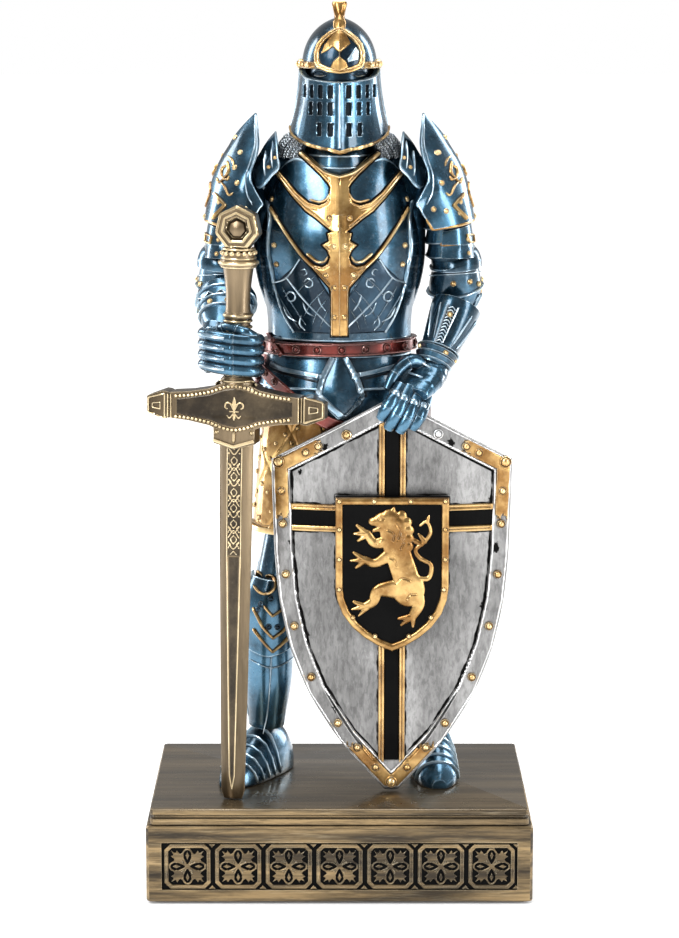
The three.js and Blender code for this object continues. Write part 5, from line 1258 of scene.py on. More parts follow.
def cuirass_pieces():
    chest = View(["breastplate"])
    smooth_copy("breastplate", BLUE)
    smooth_copy("backplate", BLUE)
    # The body core in near-black painted shade where it shows between the parts.
    smooth_copy("body_core", INSIDE, levels=1)
    upper = polygon([(0, 259), (-4.8, 260.4), (-8.4, 263.2), (-13.5, 268), (-14.4, 266.6), (-6.6, 259.4),
                     (-4.2, 256.8), (-3.4, 255.4), (-3.6, 253.1), (-4.8, 250.3), (-7.2, 249.2), (-10.8, 250.1),
                     (-15, 253.4), (-18.6, 257.4), (-21.8, 260.6), (-22.8, 259.2), (-19.8, 255.5), (-16.2, 251.3),
                     (-12, 247), (-8.4, 244.6), (0, 237.9), (1, 248)])
    lower = polygon([(0, 241), (-4.4, 239.6), (-3.8, 236.9), (-6.3, 235.4), (-4.4, 233.6), (-3.4, 231.2),
                     (-4.2, 228.9), (-6, 227.8), (-9, 228.4), (-12.6, 231.5), (-16.2, 236.1), (-20.4, 242.1),
                     (-24.2, 248), (-25, 247), (-21.6, 242.1), (-18, 236.7), (-13.2, 230.6), (-8.4, 225.7),
                     (-3.6, 220.2), (-2.7, 216), (0, 212), (1, 230)])
    whole = any_of(both(any_of(upper, lower)), rectangle(-2.9, 202.4, 2.9, 240))
    ridge = lambda a, z: 0.55 * np.clip(1 - np.abs(a) / 2.6, 0,
                                        1) * (z < 246) - 0.35 * np.exp(-(((whole(a,
            z) + 0.95) / 0.22) ** 2)) * (np.abs(a) > 3.4)
    patch("breast_gilt", chest, whole, (-26, 202), (26, 269), 0.85, GOLD, step=0.25, bevel=0.5, crown=ridge,
          replaces=("breast_overlay",))
    patch("breast_gilt_shadow", chest, lambda a, z: whole(a, z) - 0.5, (-27, 201), (27, 270), 0.2, BLACK, step=0.3,
          bevel=0.2, lift=0.08)
    beads = lines(Soup(), chest, [[(-13.8, 267.3), (-8.4, 263), (-4.8, 260.3), (0, 258.9)]], 1.5, 1.5)
    lines(beads, chest, [[(-22.2, 259.7), (-19.2, 256.4), (-15.6, 252.4), (-11.4, 248.6), (-7.2, 247.2)],
                         [(-24.6, 247.4), (-21, 242.1), (-17.1, 236.4), (-12.9, 231), (-8.7, 227)],
                         [(-3.2, 253.6), (-4.6, 251.2), (-7, 250.3), (-10.6, 251.1)],
                         [(-4.0, 231.6), (-5.4, 229.6), (-8, 229.6), (-11.6, 232.4)]], 0.9, 1.35, taper=1)
    lines(beads, chest, [[(-2.75, 203), (-2.75, 221)]], 0.7, 1.15)
    beads.add(*ribbon(chest, [(0, 203), (0, 243)], 0.5, 1.0, lift=0.7))
    rivets(beads, chest, twice((3.5, 244.8), (1.8, 235), (4.8, 224.8), (1.6, 220.4), (1.6, 209.6)), 0.75, 0.7, 0.35,
           lift=0.95)
    beads.make("breast_beads", GOLD_PALE)
    panel = polygon([(-14.1, 230), (-23.4, 220.8), (-22, 212), (-17, 203), (-2.9, 203), (-2.9, 217), (-8.4, 225.7),
                     (-13.2, 230.6)])
    patch("breast_lower_panels", chest, both(inset(panel, 0.3)), (-25, 202.5), (25, 231), 0.3, BLUE_DARK, step=0.35,
          bevel=0.5)
    seams = lines(Soup(), chest, [[(-14.1, 230), (-18.6, 223.3), (-23.4, 220.8)],
                                  [(-18.9, 223.3), (-12.4, 215.4), (-2.9, 205.8)],
                                  [(-23.4, 220.2), (-20.2, 210.4), (-16.2, 203.2)]], 0.7, 0.75)
    lines(seams, chest, [[(-27.6, 256.2), (-26.4, 250.7), (-24.9, 244.6), (-25.5, 233.6), (-24.6, 227.5),
                          (-23.4, 220.8)]], 1.0, 0.9)
    seams.make("breast_seams", PALE)
    strokes = [[(-22.2, 217.6), (-18.6, 211.6), (-14.2, 204.6)], [(-8.4, 224.6), (-13.6, 219.6), (-17.6, 213.4)],
               [(-20.4, 219.8), (-16.4, 213.2), (-11.8, 206.2)], [(-5.2, 219.6), (-9.8, 214.6), (-12.6, 209.4)],
               [(-4.2, 216.4), (-7.8, 211.4), (-9.6, 206.4)], [(-3.8, 212.4), (-6.0, 208.0), (-7.0, 204.6)]]
    lines(Soup(), chest, strokes, 0.45, 0.5, lift=0.2, taper=2.5).make("breast_engraved_strokes", BLUE)
    scroll = [[(-12.6, 221.9), (-11.2, 223.4), (-9.6, 222.6), (-9.6, 220.8), (-11.2, 220.2), (-12.2, 221)],
              [(-19.2, 216.2), (-17.6, 218.2), (-15.8, 217.4), (-15.8, 215.4), (-17.4, 214.8), (-18.6, 215.8)],
              [(-13.6, 226.2), (-12.2, 226.6), (-11.4, 225.2), (-12.6, 224.2)],
              [(-7.8, 217.6), (-6.6, 214.4), (-4.8, 211.7)], [(-13.0, 214.6), (-11.4, 211.2), (-9.0, 209.6)],
              [(-19.8, 212.4), (-18.0, 209.0), (-15.0, 207.2)], [(-13.6, 209.6), (-14.0, 206.6), (-12.2, 204.2)]]
    lines(Soup(), chest, scroll, 0.62, 0.6, lift=0.2, taper=1.4).make("breast_scrolls", PALE)
    edging = Soup()
    for node in ("breastplate", "backplate"):
        rim(edging, node, 0.55)
    edging.make("cuirass_edges", PALE)
    studs = rivets(Soup(), chest, twice((24.2, 250.4), (22.6, 244.2), (23.4, 234.4), (22.6, 227.6)), 0.75, 0.7, 0.3)
    back = View(["backplate"], 180)
    ridges = lines(Soup(), back, [[(0, 203), (0, 262)]], 1.0, 0.6, sides=(1,))
    lines(ridges, back, [[(-3, 205), (-11, 226), (-19, 240), (-24, 252)], [(-16, 204), (-21, 220), (-24, 236)]], 0.8,
          0.6, taper=2)
    ridges.make("back_ridges", PALE)
    gilt = lines(Soup(), back, [[(0, 246), (-6, 249.5), (-13, 255.5), (-18, 260)],
                                [(0, 228), (-6, 231.5), (-14, 240), (-21, 249)], [(0, 212), (-7, 214.5), (-14, 221)]],
                 1.6, 0.8, GROOVED)
    gilt.make("back_gilt_bands", GOLD)
    rivets(studs, back, twice((22.6, 250.4), (24.2, 240.2), (24.6, 228.6), (21.6, 212.4), (5.2, 206.2), (12.4, 206.4),
                              (2.6, 246.6), (2.6, 229), (2.6, 213)), 0.75, 0.7, 0.3)
    studs.make("cuirass_rivets", GOLD_PALE)


# ---------------------------------------------------------------- shoulders and arms


def limb_surface(node, top, foot, radius, **options):
    """A limb's surface wrapped round the line between two points, up running from foot to top."""
    top, foot = np.array(top, float), np.array(foot, float)
    return Round([node], foot, radius, axis=top - foot, **options)


def shoulder_pieces():
    pale, gilt, studs = Soup(), Soup(), Soup()
    for side, s in SIDES:
        smooth_copy("pauldron_" + side, BLUE)
        smooth_copy("shoulder_strap_plate_" + side, BLUE)
        smooth_copy("arm_lames_" + side, BLUE, levels=1)
        rim(pale, "pauldron_" + side, 0.5, keep=lambda p: p[2] > 243.5)
        rim(gilt, "pauldron_" + side, 0.6, keep=lambda p: p[2] < 244.5)
        rim(pale, "shoulder_strap_plate_" + side, 0.45)
        rim(gilt, "arm_lames_" + side, 0.45, keep=lambda p: p[2] < 235.5)
        rim(pale, "arm_lames_" + side, 0.4, keep=lambda p: p[2] > 235.4)
        front = View(["pauldron_" + side], 0, 0.6, smooth=1)
        outside = View(["pauldron_" + side], 90 * s, 0.7, smooth=1)
        inner = [(-30.4, 277), (-30.2, 270.4), (-31.6, 264.6), (-33.2, 259.4), (-33, 253.6), (-31, 249.2)]
        lines(pale, front, [inner], 0.5, 0.35, sides=(-s,), taper=2)
        lines(gilt, front, [[(-40.3, 262.6), (-42, 261.2), (-42, 258.6), (-40.2, 257.6), (-39.2, 259)],
                            [(-42.8, 256.8), (-41.2, 255.6), (-39.4, 252.4), (-37.8, 253.4)],
                            [(-40.2, 265.8), (-38.4, 264.6), (-37.6, 262.4)]], 0.75, 0.5, sides=(-s,), taper=1)
        frame_line = [(-44.6, 252.4), (-40.6, 248.8), (-45.4, 243.6)]
        lines(gilt, front, [frame_line], 1.1, 0.8, FLAT, sides=(-s,), straight=True)
        rivets(studs, front, [(s * x, z) for x, z in ((35.4, 267.2), (36.4, 256.8), (38, 246.8), (33.4, 247.6),
                (43.2, 249.8))], 0.7, 0.65, 0.3)
        side_curls = [[(2, 266), (6, 262.5), (4.5, 258), (0.5, 259.6), (1.5, 262.4)],
                      [(-6, 264), (-9.6, 260), (-7.6, 256.4), (-4.6, 258)],
                      [(1, 256), (-3, 252), (1, 247), (5, 251.6)]]
        gilt_side = [[(s * a, z) for a, z in path] for path in side_curls]
        lines(gilt, outside, gilt_side, 0.9, 0.6, sides=(1,), taper=1)
        rivets(studs, outside, [(a, z) for a, z in ((-12, 246), (14, 246), (1, 272), (11, 262), (-9, 267),
                (1, 243.6))], 0.75, 0.7, 0.3)
        lames = View(["arm_lames_" + side], 90 * s, 0.6, smooth=1)
        rivets(studs, lames, [(-7, 236), (9.5, 236), (-7, 231), (9.5, 231)], 0.6, 0.55, 0.25)
        lames_front = View(["arm_lames_" + side], 40 * s, 0.6, smooth=1)
        middle = float((box("arm_lames_" + side)[0] + box("arm_lames_" + side)[1]) / 2 @ lames_front.right)
        lines(gilt, lames_front, [[(middle + dx, z) for dx, z in ((-3, 237.6), (3, 237), (2.6, 234.4), (-2.4, 235))]],
              0.7, 0.6, sides=(1,), closed=True, straight=True)
        strap = View(["shoulder_strap_plate_" + side], 0, 0.5, smooth=1)
        lines(pale, strap, [[(-23.8, 271), (-24.2, 266.4), (-23.8, 262)],
                            [(-26.4, 267.6), (-26.8, 263.4), (-26.4, 259.4)]], 0.5, 0.4, sides=(-s,), taper=1)
        rivets(studs, strap, [(s * 25.2, 262.4), (s * 23, 265.6)], 0.55, 0.5, 0.2)
    pale.make("shoulder_edges", PALE)
    gilt.make("shoulder_gilt", GOLD)
    studs.make("shoulder_rivets", GOLD_PALE)
    points, faces = loft([(0, 4, 203, 23.5, 10), (0, 4, 214, 28, 11), (0, 4, 226, 30.8, 12), (0, 4, 240, 31.2, 12),
                          (0, 3.4, 249, 31.2, 11.5), (0, 3, 256, 31.6, 10), (0, 2, 262, 29.6, 7.4),
                          (0, 1.6, 267, 25.4, 5), (0, 1.4, 270, 19, 3.4)], sides=72, power=2.6)
    make("arming_coat", points, faces, BLUE)


def arm_pieces():
    pale, studs, gilt = Soup(), Soup(), Soup()
    for side, s in SIDES:
        for node in ("upper_arm_", "couter_", "vambrace_"):
            smooth_copy(node + side, BLUE)
        low, high = box("couter_" + side)
        cx, cy = (low[0] + high[0]) / 2, (low[1] + high[1]) / 2
        upper = Round(["upper_arm_" + side], (s * 39.4, 2, 0), 7.5, rows=50)
        lean = -s * math.pi / 2 + 0.5 * s

        def stacked(a, z):
            return 0.35 + 1.5 * (((246.0 - z - 1.6 * np.cos(a / upper.radius - lean)) / 5.2) % 1.0) ** 1.4

        make("arm_plates_" + side, *upper.skin(upper.low + 1.0, 246.0, rows=110, columns=90, lift=stacked), BLUE)
        for k in range(1, 4):
            ring_on(pale, upper, 246.3 - 5.2 * k, 0.5, 0.5, wave=-1.6, turn=lean, lift=1.5)
        collar = [(s * 40.2, 2.8, 231.2, 7.3, 8.0), (s * 41.0, 3.0, 228.8, 8.3, 8.9),
                  (s * 42.0, 3.2, 226.8, 9.5, 9.9), (s * 42.2, 3.4, 225.0, 9.6, 10.0)]
        make("elbow_collar_" + side, *loft(collar, sides=44), BLUE)
        elbow = Round(["couter_" + side], (cx, cy, 0), 9.5, rows=60)
        ring_on(pale, elbow, high[2] - 0.9, 1.5, 1.0)
        ring_on(pale, elbow, low[2] + 9.4, 0.8, 0.8, wave=-2.8, turn=-s * 0.5)
        ring_on(pale, elbow, low[2] + 14.6, 0.5, 0.4, wave=1.2, turn=0.6)
        fan = [[(a, low[2] + 7.6), (a * 1.25, low[2] + 4.2), (a * 1.1, low[2] + 1.6)] for a in (-3.6, 0, 3.6)]
        lines(pale, elbow, [[(p + s * 15, z) for p, z in path] for path in fan], 0.6, 0.5, sides=(1,), taper=1)
        rivets(studs, elbow, [(s * 15 + da, low[2] + dz) for da,
                              dz in ((0, 12.6), (-4.6, 11.4), (4.6, 11.4), (-16, 12), (-9.5, 12.6))], 0.75, 0.7, 0.3)
        lines(gilt, elbow, [[(s * 21 + 3 * math.cos(t), 216.4 + 3.4 * math.sin(t)) for t in np.linspace(0, 5.4, 9)]],
              0.8, 0.6, sides=(1,), taper=1)

    left = limb_surface("vambrace_left", (42.2, -6.2, 211.6), (33.2, -15.4, 191.6), 7.0, rows=70)
    length = left.high
    for angle in (-62, -38, 34, 58, 120, 200):
        a = math.radians(angle) * left.radius
        pale.add(*ribbon(left, [(a * 0.8, left.low + 8), (a, length - 9), (a * 1.15, length - 4)], 0.55, 0.5,
                         taper=1.5))
    braid = math.radians(-12) * left.radius
    for offset in (-1.5, 1.5):
        pale.add(*ribbon(left, [(braid + offset * 0.8, left.low + 7.6), (braid + offset, length - 4)], 0.5, 0.6))
    for up in np.arange(left.low + 7.8, length - 4.4, 1.25):
        pale.add(*ribbon(left, [(braid - 1.0, up - 0.5), (braid, up + 0.35), (braid + 1.0, up - 0.5)], 0.45, 0.5,
                         step=0.2))
    for up, height in ((0.9, 1.0), (3.4, 1.15), (6.2, 1.3)):
        ring_on(pale, left, left.low + up, 0.7, height, wave=0.6, turn=0.4)
    cuff = left.skin(left.low + 0.8, left.low + 6.4, rows=14, columns=80, lift=lambda a,
                     z: 0.3 + 0.75 * (((z - left.low - 0.8) % 2.8) / 2.8))
    make("cuff_plates_left", *cuff, BLUE)
    rivets(studs, left, [(a, left.low + 4.8) for a in (-9.5, 9.5, 2.2)] + [(braid, length - 7.4)], 0.75, 0.75, 0.3,
           lift=0.6)

    right = limb_surface("vambrace_right", (-40.6, -6.2, 214.6), (-42.2, -22.4, 203.2), 8.0, rows=60,
                         reach=(6.5, 17.6))
    for up, wave in ((8.6, 0.0), (12.0, 0.8), (16.8, 0.4)):
        ring_on(pale, right, up, 0.7, 0.75, wave=wave)
    zigzag = [((k - 12) * math.pi * right.radius / 12, 13.6 + (1.1 if k % 2 else -1.1)) for k in range(25)]
    pale.add(*ribbon(right, zigzag, 0.6, 0.6, straight=True))
    rivets(studs, right, [(a, 10.4) for a in (-14, -6, 0.5, 6, 14)], 0.75, 0.7, 0.3)
    pale.make("arm_edges", PALE)
    gilt.make("arm_gilt_lines", GOLD)
    studs.make("arm_rivets", GOLD_PALE)


# ---------------------------------------------------------------- hands


def finger(points, radii, joints=3):
    """A gauntlet finger: overlapping plates, each starting wider than the last one ended."""
    radii = np.asarray(radii, float)
    stations = [(*p, r, r * 0.92) for p, r in zip(points, radii)]

    def plates(share, angle):
        local = (share * joints) % 1.0
        return 1.0 + 0.07 * (local - 0.5) + 0.03 * (local > 0.88)

    return loft(stations, sides=20, step=0.14, shape=plates)


def hand_pieces():
    hand, knuckles, pale = Soup(), Soup(), Soup()
    tips = [((22, -26, 185.5), (18.7, -30.6, 181), (16.2, -31.6, 177.6), (14.6, -30.6, 174.4)),
            ((25, -25.6, 185), (21.6, -30.6, 178.8), (19, -31.6, 174.4), (17.2, -30.6, 170.8)),
            ((28.2, -24.6, 183.6), (25.2, -30, 177), (22.8, -31, 172.6), (21.2, -30.2, 169.7)),
            ((31, -23.2, 181.4), (28.8, -28.4, 176), (27, -29.6, 172.8), (25.8, -29.2, 170.6))]
    for path in tips:
        hand.add(*finger(path, (2.5, 2.5, 2.3, 1.7)))
        p = np.array(path[0]) * 0.35 + np.array(path[1]) * 0.65
        knuckles.add(*dome(p + [0, -0.9, 0.6], [0, -1, 0.6], 2.0, 1.6, 0.3, sides=18))
    hand.add(*finger([(29.4, -17.6, 192.4), (25.6, -19.6, 193.6), (22.0, -21.6, 191.8), (19.0, -23.6, 188.2),
                      (17.0, -25.2, 184.2)], (3.0, 2.7, 2.4, 2.1, 1.5)))
    points, faces = loft([(33.4, -15.2, 190.8, 6.2, 5.2), (32.2, -17.4, 188.6, 6.6, 5.0),
                          (30.4, -20.6, 186.4, 6.8, 4.4), (28.0, -24.0, 184.4, 6.6, 3.7),
                          (26.2, -26.8, 182.6, 6.0, 2.6)], sides=36, power=2.4, front=(0, 0, 1), shape=lambda share,
                         angle: 1 + 0.035 * (((share * 4) % 1.0) - 0.5))
    hand.add(points, faces)
    hand.make("gauntlet_left", BLUE, replaces=("hand_left",))
    for path in ([(38.6, -16.2, 187.6), (36.2, -20.4, 189.6), (31.2, -21.2, 192.2), (27.6, -18.2, 193.9)],
                 [(36.6, -20.4, 184.6), (33.4, -24.2, 186.4), (28.6, -25.0, 188.8), (24.6, -22.4, 189.8)]):
        pale.add(*tube(path, 0.42, taper=1.5))
    low, high = box("sword_grip")
    gx, gy = (low[0] + high[0]) / 2, (low[1] + high[1]) / 2
    right = Soup()
    for z in (204.2, 200.5, 196.8, 193.2):
        path = [(gx - 11.6, gy + 2.6), (gx - 11.8, gy - 3.4), (gx - 7.2, gy - 7.6), (gx, gy - 8.4),
                (gx + 6, gy - 6.2), (gx + 8, gy - 1), (gx + 5.6, gy + 3.4)]
        right.add(*finger([(x, y, z - 0.12 * (x - gx)) for x, y in path], (1.95, 2.0, 2.05, 2.0, 1.95, 1.9, 1.6),
                          joints=4))
        knuckles.add(*loft([(gx - 12.9, gy - 1.6, z + 1.6, 1.2, 0.7), (gx - 11.4, gy - 5.6, z + 1.5, 1.9, 0.8),
                            (gx - 7.4, gy - 9.2, z + 1.0, 1.9, 0.8), (gx - 4.2, gy - 10.2, z + 0.6, 1.1, 0.6)],
                           sides=18, front=(0, 0, 1), step=0.3))
    right.add(*finger([(gx - 7.4, gy + 5.4, 205.2), (gx - 3.2, gy - 1, 207.4), (gx + 2.6, gy - 6.4, 206.6),
                       (gx + 6.4, gy - 5.2, 204.8)], (2.3, 2.2, 2.0, 1.5)))
    points, faces = loft([(gx - 8.2, gy + 8.8, 203.6, 7.4, 4.6), (gx - 9.2, gy + 5, 200.6, 7.6, 4.8),
                          (gx - 10, gy + 0.6, 198.6, 7.4, 3.4), (gx - 10.4, gy - 3, 198.4, 6.8, 2.2)], sides=36,
                         power=2.6, front=(1, 0, 0), shape=lambda share,
                         angle: 1 + 0.03 * (((share * 3) % 1.0) - 0.5))
    right.add(points, faces)
    right.make("gauntlet_right", BLUE, replaces=("hand_right",))
    knuckles.make("knuckle_plates", PALE)
    pale.make("gauntlet_edges", PALE)


# ---------------------------------------------------------------- hips, belts and skirt


def hip_pieces():
    for node in ("fauld_upper", "fauld_lower", "fauld_point"):
        smooth_copy(node, BLUE)
    front = View(["fauld_upper", "fauld_lower", "fauld_point"], 0, 0.8, smooth=1)
    bands, dark = Soup(), Soup()
    lines(bands, front, [[(-24.6, 190.6), (-20.4, 189.4), (-12, 188.2), (-5.6, 187.3)]], 1.7, 0.9, FLAT, sides=(1,))
    lines(bands, front, [[(4.2, 187.8), (10, 188.6), (17, 189.9), (24, 191.2)]], 1.7, 0.9, FLAT, sides=(1,))
    lines(bands, front, [[(-2.0, 194.6), (-5.6, 187.2), (-7.2, 181.6), (1.7, 173.6)],
                         [(1.6, 194.6), (6.4, 185.6), (8.1, 179.6), (1.7, 173.6)]], 1.5, 1.1, FLAT, sides=(1,),
          straight=True)
    lines(dark, front, [[(-3.6, 193.4), (-6.9, 186.8), (-8.7, 181.2)], [(3.2, 193.6), (8.0, 185.4), (9.7, 179.8)],
                        [(-24, 188.6), (-14, 186.8), (-7.4, 185.6)], [(8.6, 186.6), (14, 187.6), (24, 189.6)]], 0.8,
          0.12, sides=(1,), straight=True)
    rim(bands, "fauld_lower", 0.6)
    rim(bands, "fauld_upper", 0.45)
    back = View(["fauld_upper", "fauld_lower"], 180, 0.8, smooth=1)
    lines(bands, back, [[(0, 198), (0, 176)], [(-12, 198), (-14, 178)],
                        [(-24, 190), (-12, 188.4), (0, 188), (12, 188.4), (24, 190)]], 1.1, 0.8, FLAT)
    bands.make("hip_plate_edges", PALE)
    dark.make("hip_plate_gaps", MAIL_DARK)

    smooth_copy("waist_belt", RED)
    smooth_copy("sword_belt", RED)
    low, high = box("waist_belt")
    belt = Round(["waist_belt"], (0, 1, 0), 26, rows=24, columns=240)
    edges, studs = Soup(), Soup()
    turn = np.linspace(-math.pi, math.pi, 181)
    a = turn * belt.radius
    levels = []
    for value in turn:
        column = int(round(value / (2 * math.pi) * len(belt.hit))) % len(belt.hit)
        rows = np.nonzero(belt.hit[column])[0]
        levels.append((belt.levels[rows[0]], belt.levels[rows[-1]]) if len(rows) else (low[2], high[2]))
    levels = np.array(levels)
    for k, shift in ((0, 0.45), (1, -0.45)):
        edges.add(*ribbon(belt, np.stack([a, levels[:, k] + shift], 1), 0.7, 0.7, straight=True))
    middle = levels.mean(1)
    for spot in [*(-19.6, -10.4, 1.0, 12.2, 21.6), *np.arange(30, 134, 8.6)]:
        z = float(np.interp(spot if spot < 81.6 else spot - 163.4, a, middle))
        rivets(studs, belt, [(spot, z)], 1.0, 0.95, 0.55, lift=0.15)
    hang = View(["sword_belt"], 0, 0.6, smooth=1)
    rivets(studs, hang, [(-26.8, 188.4), (-23.4, 185.6), (-16.6, 180.2), (-8, 174.2), (5, 169.8)], 0.95, 0.9, 0.5,
           lift=0.1)
    for loop in borders("sword_belt"):
        edges.add(*tube(loop, 0.4, closed=True))
    edges.make("belt_edges", RED)
    cross = Soup()
    wrap = View(["waist_belt", "fauld_upper", "breastplate"])
    cross.add(*ribbon(wrap, [(-25.6, 201.4), (-23.4, 198.4), (-20.6, 194.8)], 1.6, 0.5, FLAT, lift=0.4))
    tail = View(["fauld_upper", "fauld_lower", "sword_belt"], -25)
    cross.add(*ribbon(tail, [(-26.6, 191.5), (-27.4, 187), (-28.2, 181.4)], 3.0, 1.2, FLAT, straight=True, lift=0.9))
    cross.make("belt_crossing_straps", RED)
    rivets(studs, wrap, [(-23.4, 199.4), (-21.6, 196.2)], 0.8, 0.8, 0.35, lift=1.0)
    studs.make("belt_studs", RED)

    low, high = box("skirt")
    cloth = Round(["skirt"], (0, 1, 0), 29, rows=80, columns=240)

    wide, tall = 18.2, 25.0  # one lozenge of the quilting

    def quilt(a, z):
        u, v = a / wide + (z - low[2]) / tall, a / wide - (z - low[2]) / tall
        puff = np.clip(np.abs(np.sin(math.pi * u) * np.sin(math.pi * v)) * 7, 0, 1) ** 0.5
        folds = 0.6 * np.sin(a * 0.3 + 0.6) * np.clip(1 - (z - low[2]) / 46, 0, 1)
        return 0.35 + 0.45 * puff + folds

    skin = cloth.skin(low[2] + 0.4, high[2] - 0.4, rows=150, columns=560, lift=quilt)
    make("quilted_skirt", *skin, GOLD, replaces=("skirt",))
    pins, hem = Soup(), Soup()
    for k in range(-5, 5):
        for m in range(0, 7):
            a0, z0 = (k + 0.5 + 0.5 * (m % 2)) * wide, low[2] + tall / 4 * m
            spots = [(a0 + 2.6, z0 + 2.2), (a0 - 2.8, z0 - 0.6), (a0 + 0.4, z0 - 3.4)]
            rivets(pins, cloth, [p for p in spots if low[2] + 4 < p[1] < high[2] - 3], 0.75, 0.7, 0.2, lift=0.7)
    pins.make("skirt_studs", GOLD_PALE)
    ring_on(hem, cloth, low[2] + 1.3, 2.4, 1.6, FLAT)
    ring_on(hem, cloth, low[2] + 3.2, 0.6, 1.3)
    hem.make("skirt_hem", GOLD_PALE)


# ---------------------------------------------------------------- legs and feet


def leg_pieces():
    gilt, pale, studs = Soup(), Soup(), Soup()
    for side, s in SIDES:
        for node in ("leg_", "knee_plate_", "sabaton_"):
            smooth_copy(node + side, BLUE)
        low, high = box("knee_plate_" + side)
        middle = (low[0] + high[0]) / 2
        knee = View(["knee_plate_" + side, "leg_" + side], 0, 0.6, smooth=1)
        rim(pale, "knee_plate_" + side, 0.4)
        place = lambda points: [(middle - s * (x + 25.4), z) for x, z in points]
        ribbons = [[(-28.4, 102.8), (-25.2, 98.9), (-21.6, 101.4)],
                   [(-32.4, 101.8), (-29, 95), (-25.2, 90.3), (-21.6, 93), (-18.4, 96)],
                   [(-32.4, 93.9), (-29, 89.4), (-25.4, 84.9), (-21.8, 88), (-18.2, 91.3)]]
        for path in ribbons:
            gilt.add(*ribbon(knee, place(path), 1.0, 0.9, straight=True, taper=0.8))
        for path in ([(-32.2, 109.4), (-29.6, 107.2), (-26.6, 107.2), (-24.4, 109.2), (-24.4, 111.4), (-26, 113),
                      (-27.8, 112.4)], [(-19.4, 107.8), (-21, 109.4), (-21.8, 112.2), (-20.6, 113.8)],
                     [(-31.8, 111.8), (-30.4, 113.4), (-29.2, 112.4)]):
            gilt.add(*ribbon(knee, place(path), 1.1, 0.9, taper=1.2))
        rivets(studs, knee, place([(-25.8, 105.4), (-30.8, 101), (-29.6, 103.2), (-26.6, 94.8), (-23.4, 94.6),
                                   (-21.4, 104.2)]), 0.8, 0.7, 0.3)
        leg_low, leg_high = box("leg_" + side)
        shin = View(["leg_" + side], 0, 0.7)
        pale.add(*ribbon(shin, [(middle + s * out, z) for out, z in ((0.4, 83.2), (1.0, 72), (2.1, 60), (3.7, 52))],
                         0.5, 0.5, taper=3))
        pale.add(*ribbon(shin, [(middle - 8.4, 81), (middle, 78.6), (middle + 8.4, 81)], 0.45, 0.3, taper=2))
        for azimuth in (90 * s, 180):
            flank = View(["leg_" + side], azimuth, 0.7)
            mid = float((leg_low + leg_high) / 2 @ flank.right)
            pale.add(*ribbon(flank, [(mid, 118), (mid + 0.6, 104), (mid, 84), (mid + 0.8, 58)], 0.5, 0.4, taper=2))
        foot_low = box("sabaton_" + side)[0]
        heel, toe = (np.array(v, float) for v in (((-22.5, 12.5, 0), (-41, -17.5, 0)) if s < 0 else ((34, 13.5, 0),
                (36.6, -18.5, 0))))
        heel[2] = toe[2] = foot_low[2] + 4
        span = np.linalg.norm(toe - heel)
        shell = Round(["sabaton_" + side], heel, 7, axis=toe - heel, front=(0, 0, 1), rows=70)
        for share in (0.36, 0.47, 0.58, 0.69, 0.8):
            up = share * span
            half = np.linspace(-1, 1, 31)
            path = np.stack([half * math.radians(112) * shell.radius, up + 2.6 * (1 - half**2) - 1], 1)
            pale.add(*ribbon(shell, path, 0.75, 0.8, taper=1))
            rivets(studs, shell, [(k * math.radians(98) * shell.radius, up - 1.4) for k in (-1, 1)], 0.5, 0.5, 0.2)
    gilt.make("knee_gilt_ribbons", GOLD)
    pale.make("leg_edges", PALE)
    studs.make("leg_rivets", BLUE_DARK)


# ---------------------------------------------------------------- building

shield_pieces()
plinth_pieces()
sword_pieces()
helmet_pieces()
neck_pieces()
cuirass_pieces()
shoulder_pieces()
arm_pieces()
hand_pieces()
hip_pieces()
leg_pieces()


# ---------------------------------------------------------------- floor, light and camera


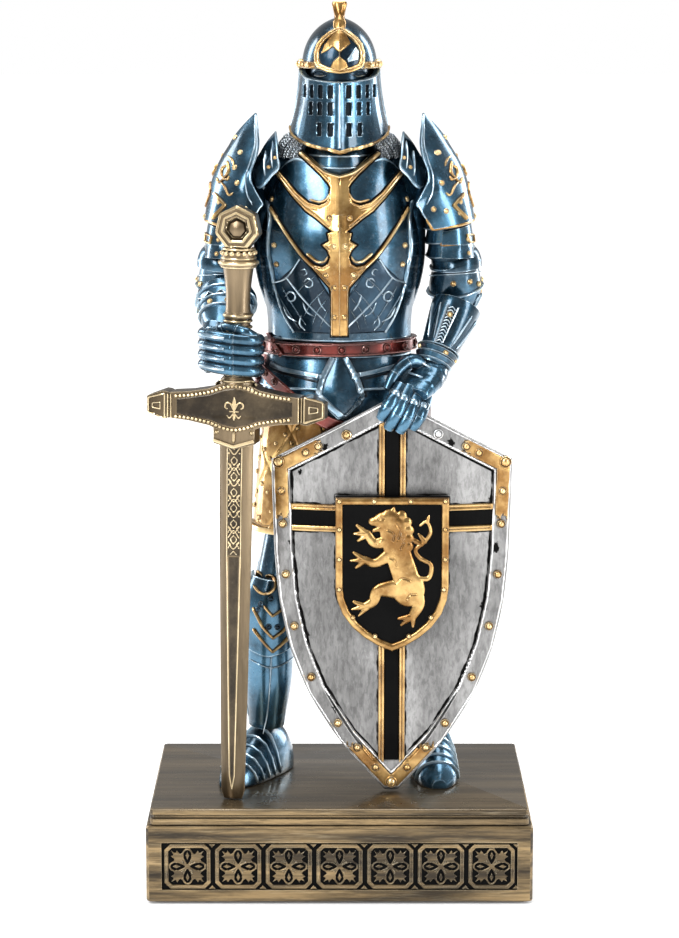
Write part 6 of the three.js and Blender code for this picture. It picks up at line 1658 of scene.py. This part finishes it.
def stage_and_light():
    floor = bpy.data.meshes.new("floor")
    bm = bmesh.new()
    bmesh.ops.create_grid(bm, x_segments=8, y_segments=8, size=6.0)
    bm.to_mesh(floor)
    bm.free()
    ground = bpy.data.objects.new("floor", floor)
    bpy.context.scene.collection.objects.link(ground)
    g = Graph("pale_floor")
    paper = g.mix(g.noise(40.0), (0.86, 0.86, 0.86), (0.89, 0.89, 0.89))
    g.finish(paper, 0.6, 0.0)
    away = g.new("VectorMath", {0: g.place}, operation="LENGTH").outputs["Value"]
    g.put((1.0, 1.0, 1.0), g.shader.inputs["Emission Color"])
    g.put(g.new("MapRange", {"Value": away, "From Min": 0.06, "From Max": 0.45, "To Min": 0.12,
                             "To Max": 0.75}).outputs[0], g.shader.inputs["Emission Strength"])
    floor.materials.append(g.material)

    world = bpy.data.worlds.new("studio")
    world.use_nodes = True
    bpy.context.scene.world = world
    bpy.context.scene.view_settings.view_transform = "Standard"
    nodes, links = world.node_tree.nodes, world.node_tree.links
    back = nodes["Background"]
    back.inputs["Color"].default_value = (1, 1, 1, 1)
    back.inputs["Strength"].default_value = 0.4
    shown = nodes.new("ShaderNodeBackground")
    shown.inputs["Color"].default_value = (1, 1, 1, 1)
    shown.inputs["Strength"].default_value = 1.0
    path, mix = nodes.new("ShaderNodeLightPath"), nodes.new("ShaderNodeMixShader")
    links.new(path.outputs["Is Camera Ray"], mix.inputs[0])
    links.new(back.outputs[0], mix.inputs[1])
    links.new(shown.outputs[0], mix.inputs[2])
    links.new(mix.outputs[0], nodes["World Output"].inputs["Surface"])

    def softbox(name, place, size, power):
        """A lamp with a soft edge, aimed at the middle of the object."""
        light = bpy.data.lights.new(name, "AREA")
        light.shape = "RECTANGLE"
        light.size, light.size_y = size
        light.energy = power
        lamp = bpy.data.objects.new(name, light)
        lamp.location = place
        lamp.rotation_euler = (Vector((0, 0, 0.17)) - Vector(place)).to_track_quat("-Z", "Y").to_euler()
        bpy.context.scene.collection.objects.link(lamp)

    softbox("key", (-0.55, -0.75, 0.75), (0.3, 0.7), 12.0)
    softbox("fill", (0.85, -0.55, 0.35), (0.2, 0.8), 6.5)
    softbox("top", (0.0, 0.05, 1.1), (0.8, 0.5), 9.0)
    softbox("rim_right", (-0.75, 0.45, 0.4), (0.2, 0.8), 5.0)
    softbox("rim_left", (0.7, 0.55, 0.45), (0.2, 0.8), 5.0)


def camera():
    target, distance, tilt = Vector((0, 0, 0.1509)), 1.119, math.radians(10.15)
    lens = bpy.data.cameras.new("camera")
    lens.sensor_fit = "VERTICAL"
    lens.sensor_height = 36.0
    lens.lens = 117.3
    lens.clip_end = 50
    holder = bpy.data.objects.new("camera", lens)
    holder.location = target + distance * Vector((0, -math.cos(tilt), math.sin(tilt)))
    holder.rotation_euler = (math.pi / 2 - tilt, 0, 0)
    bpy.context.scene.collection.objects.link(holder)
    bpy.context.scene.camera = holder


stage_and_light()
camera()
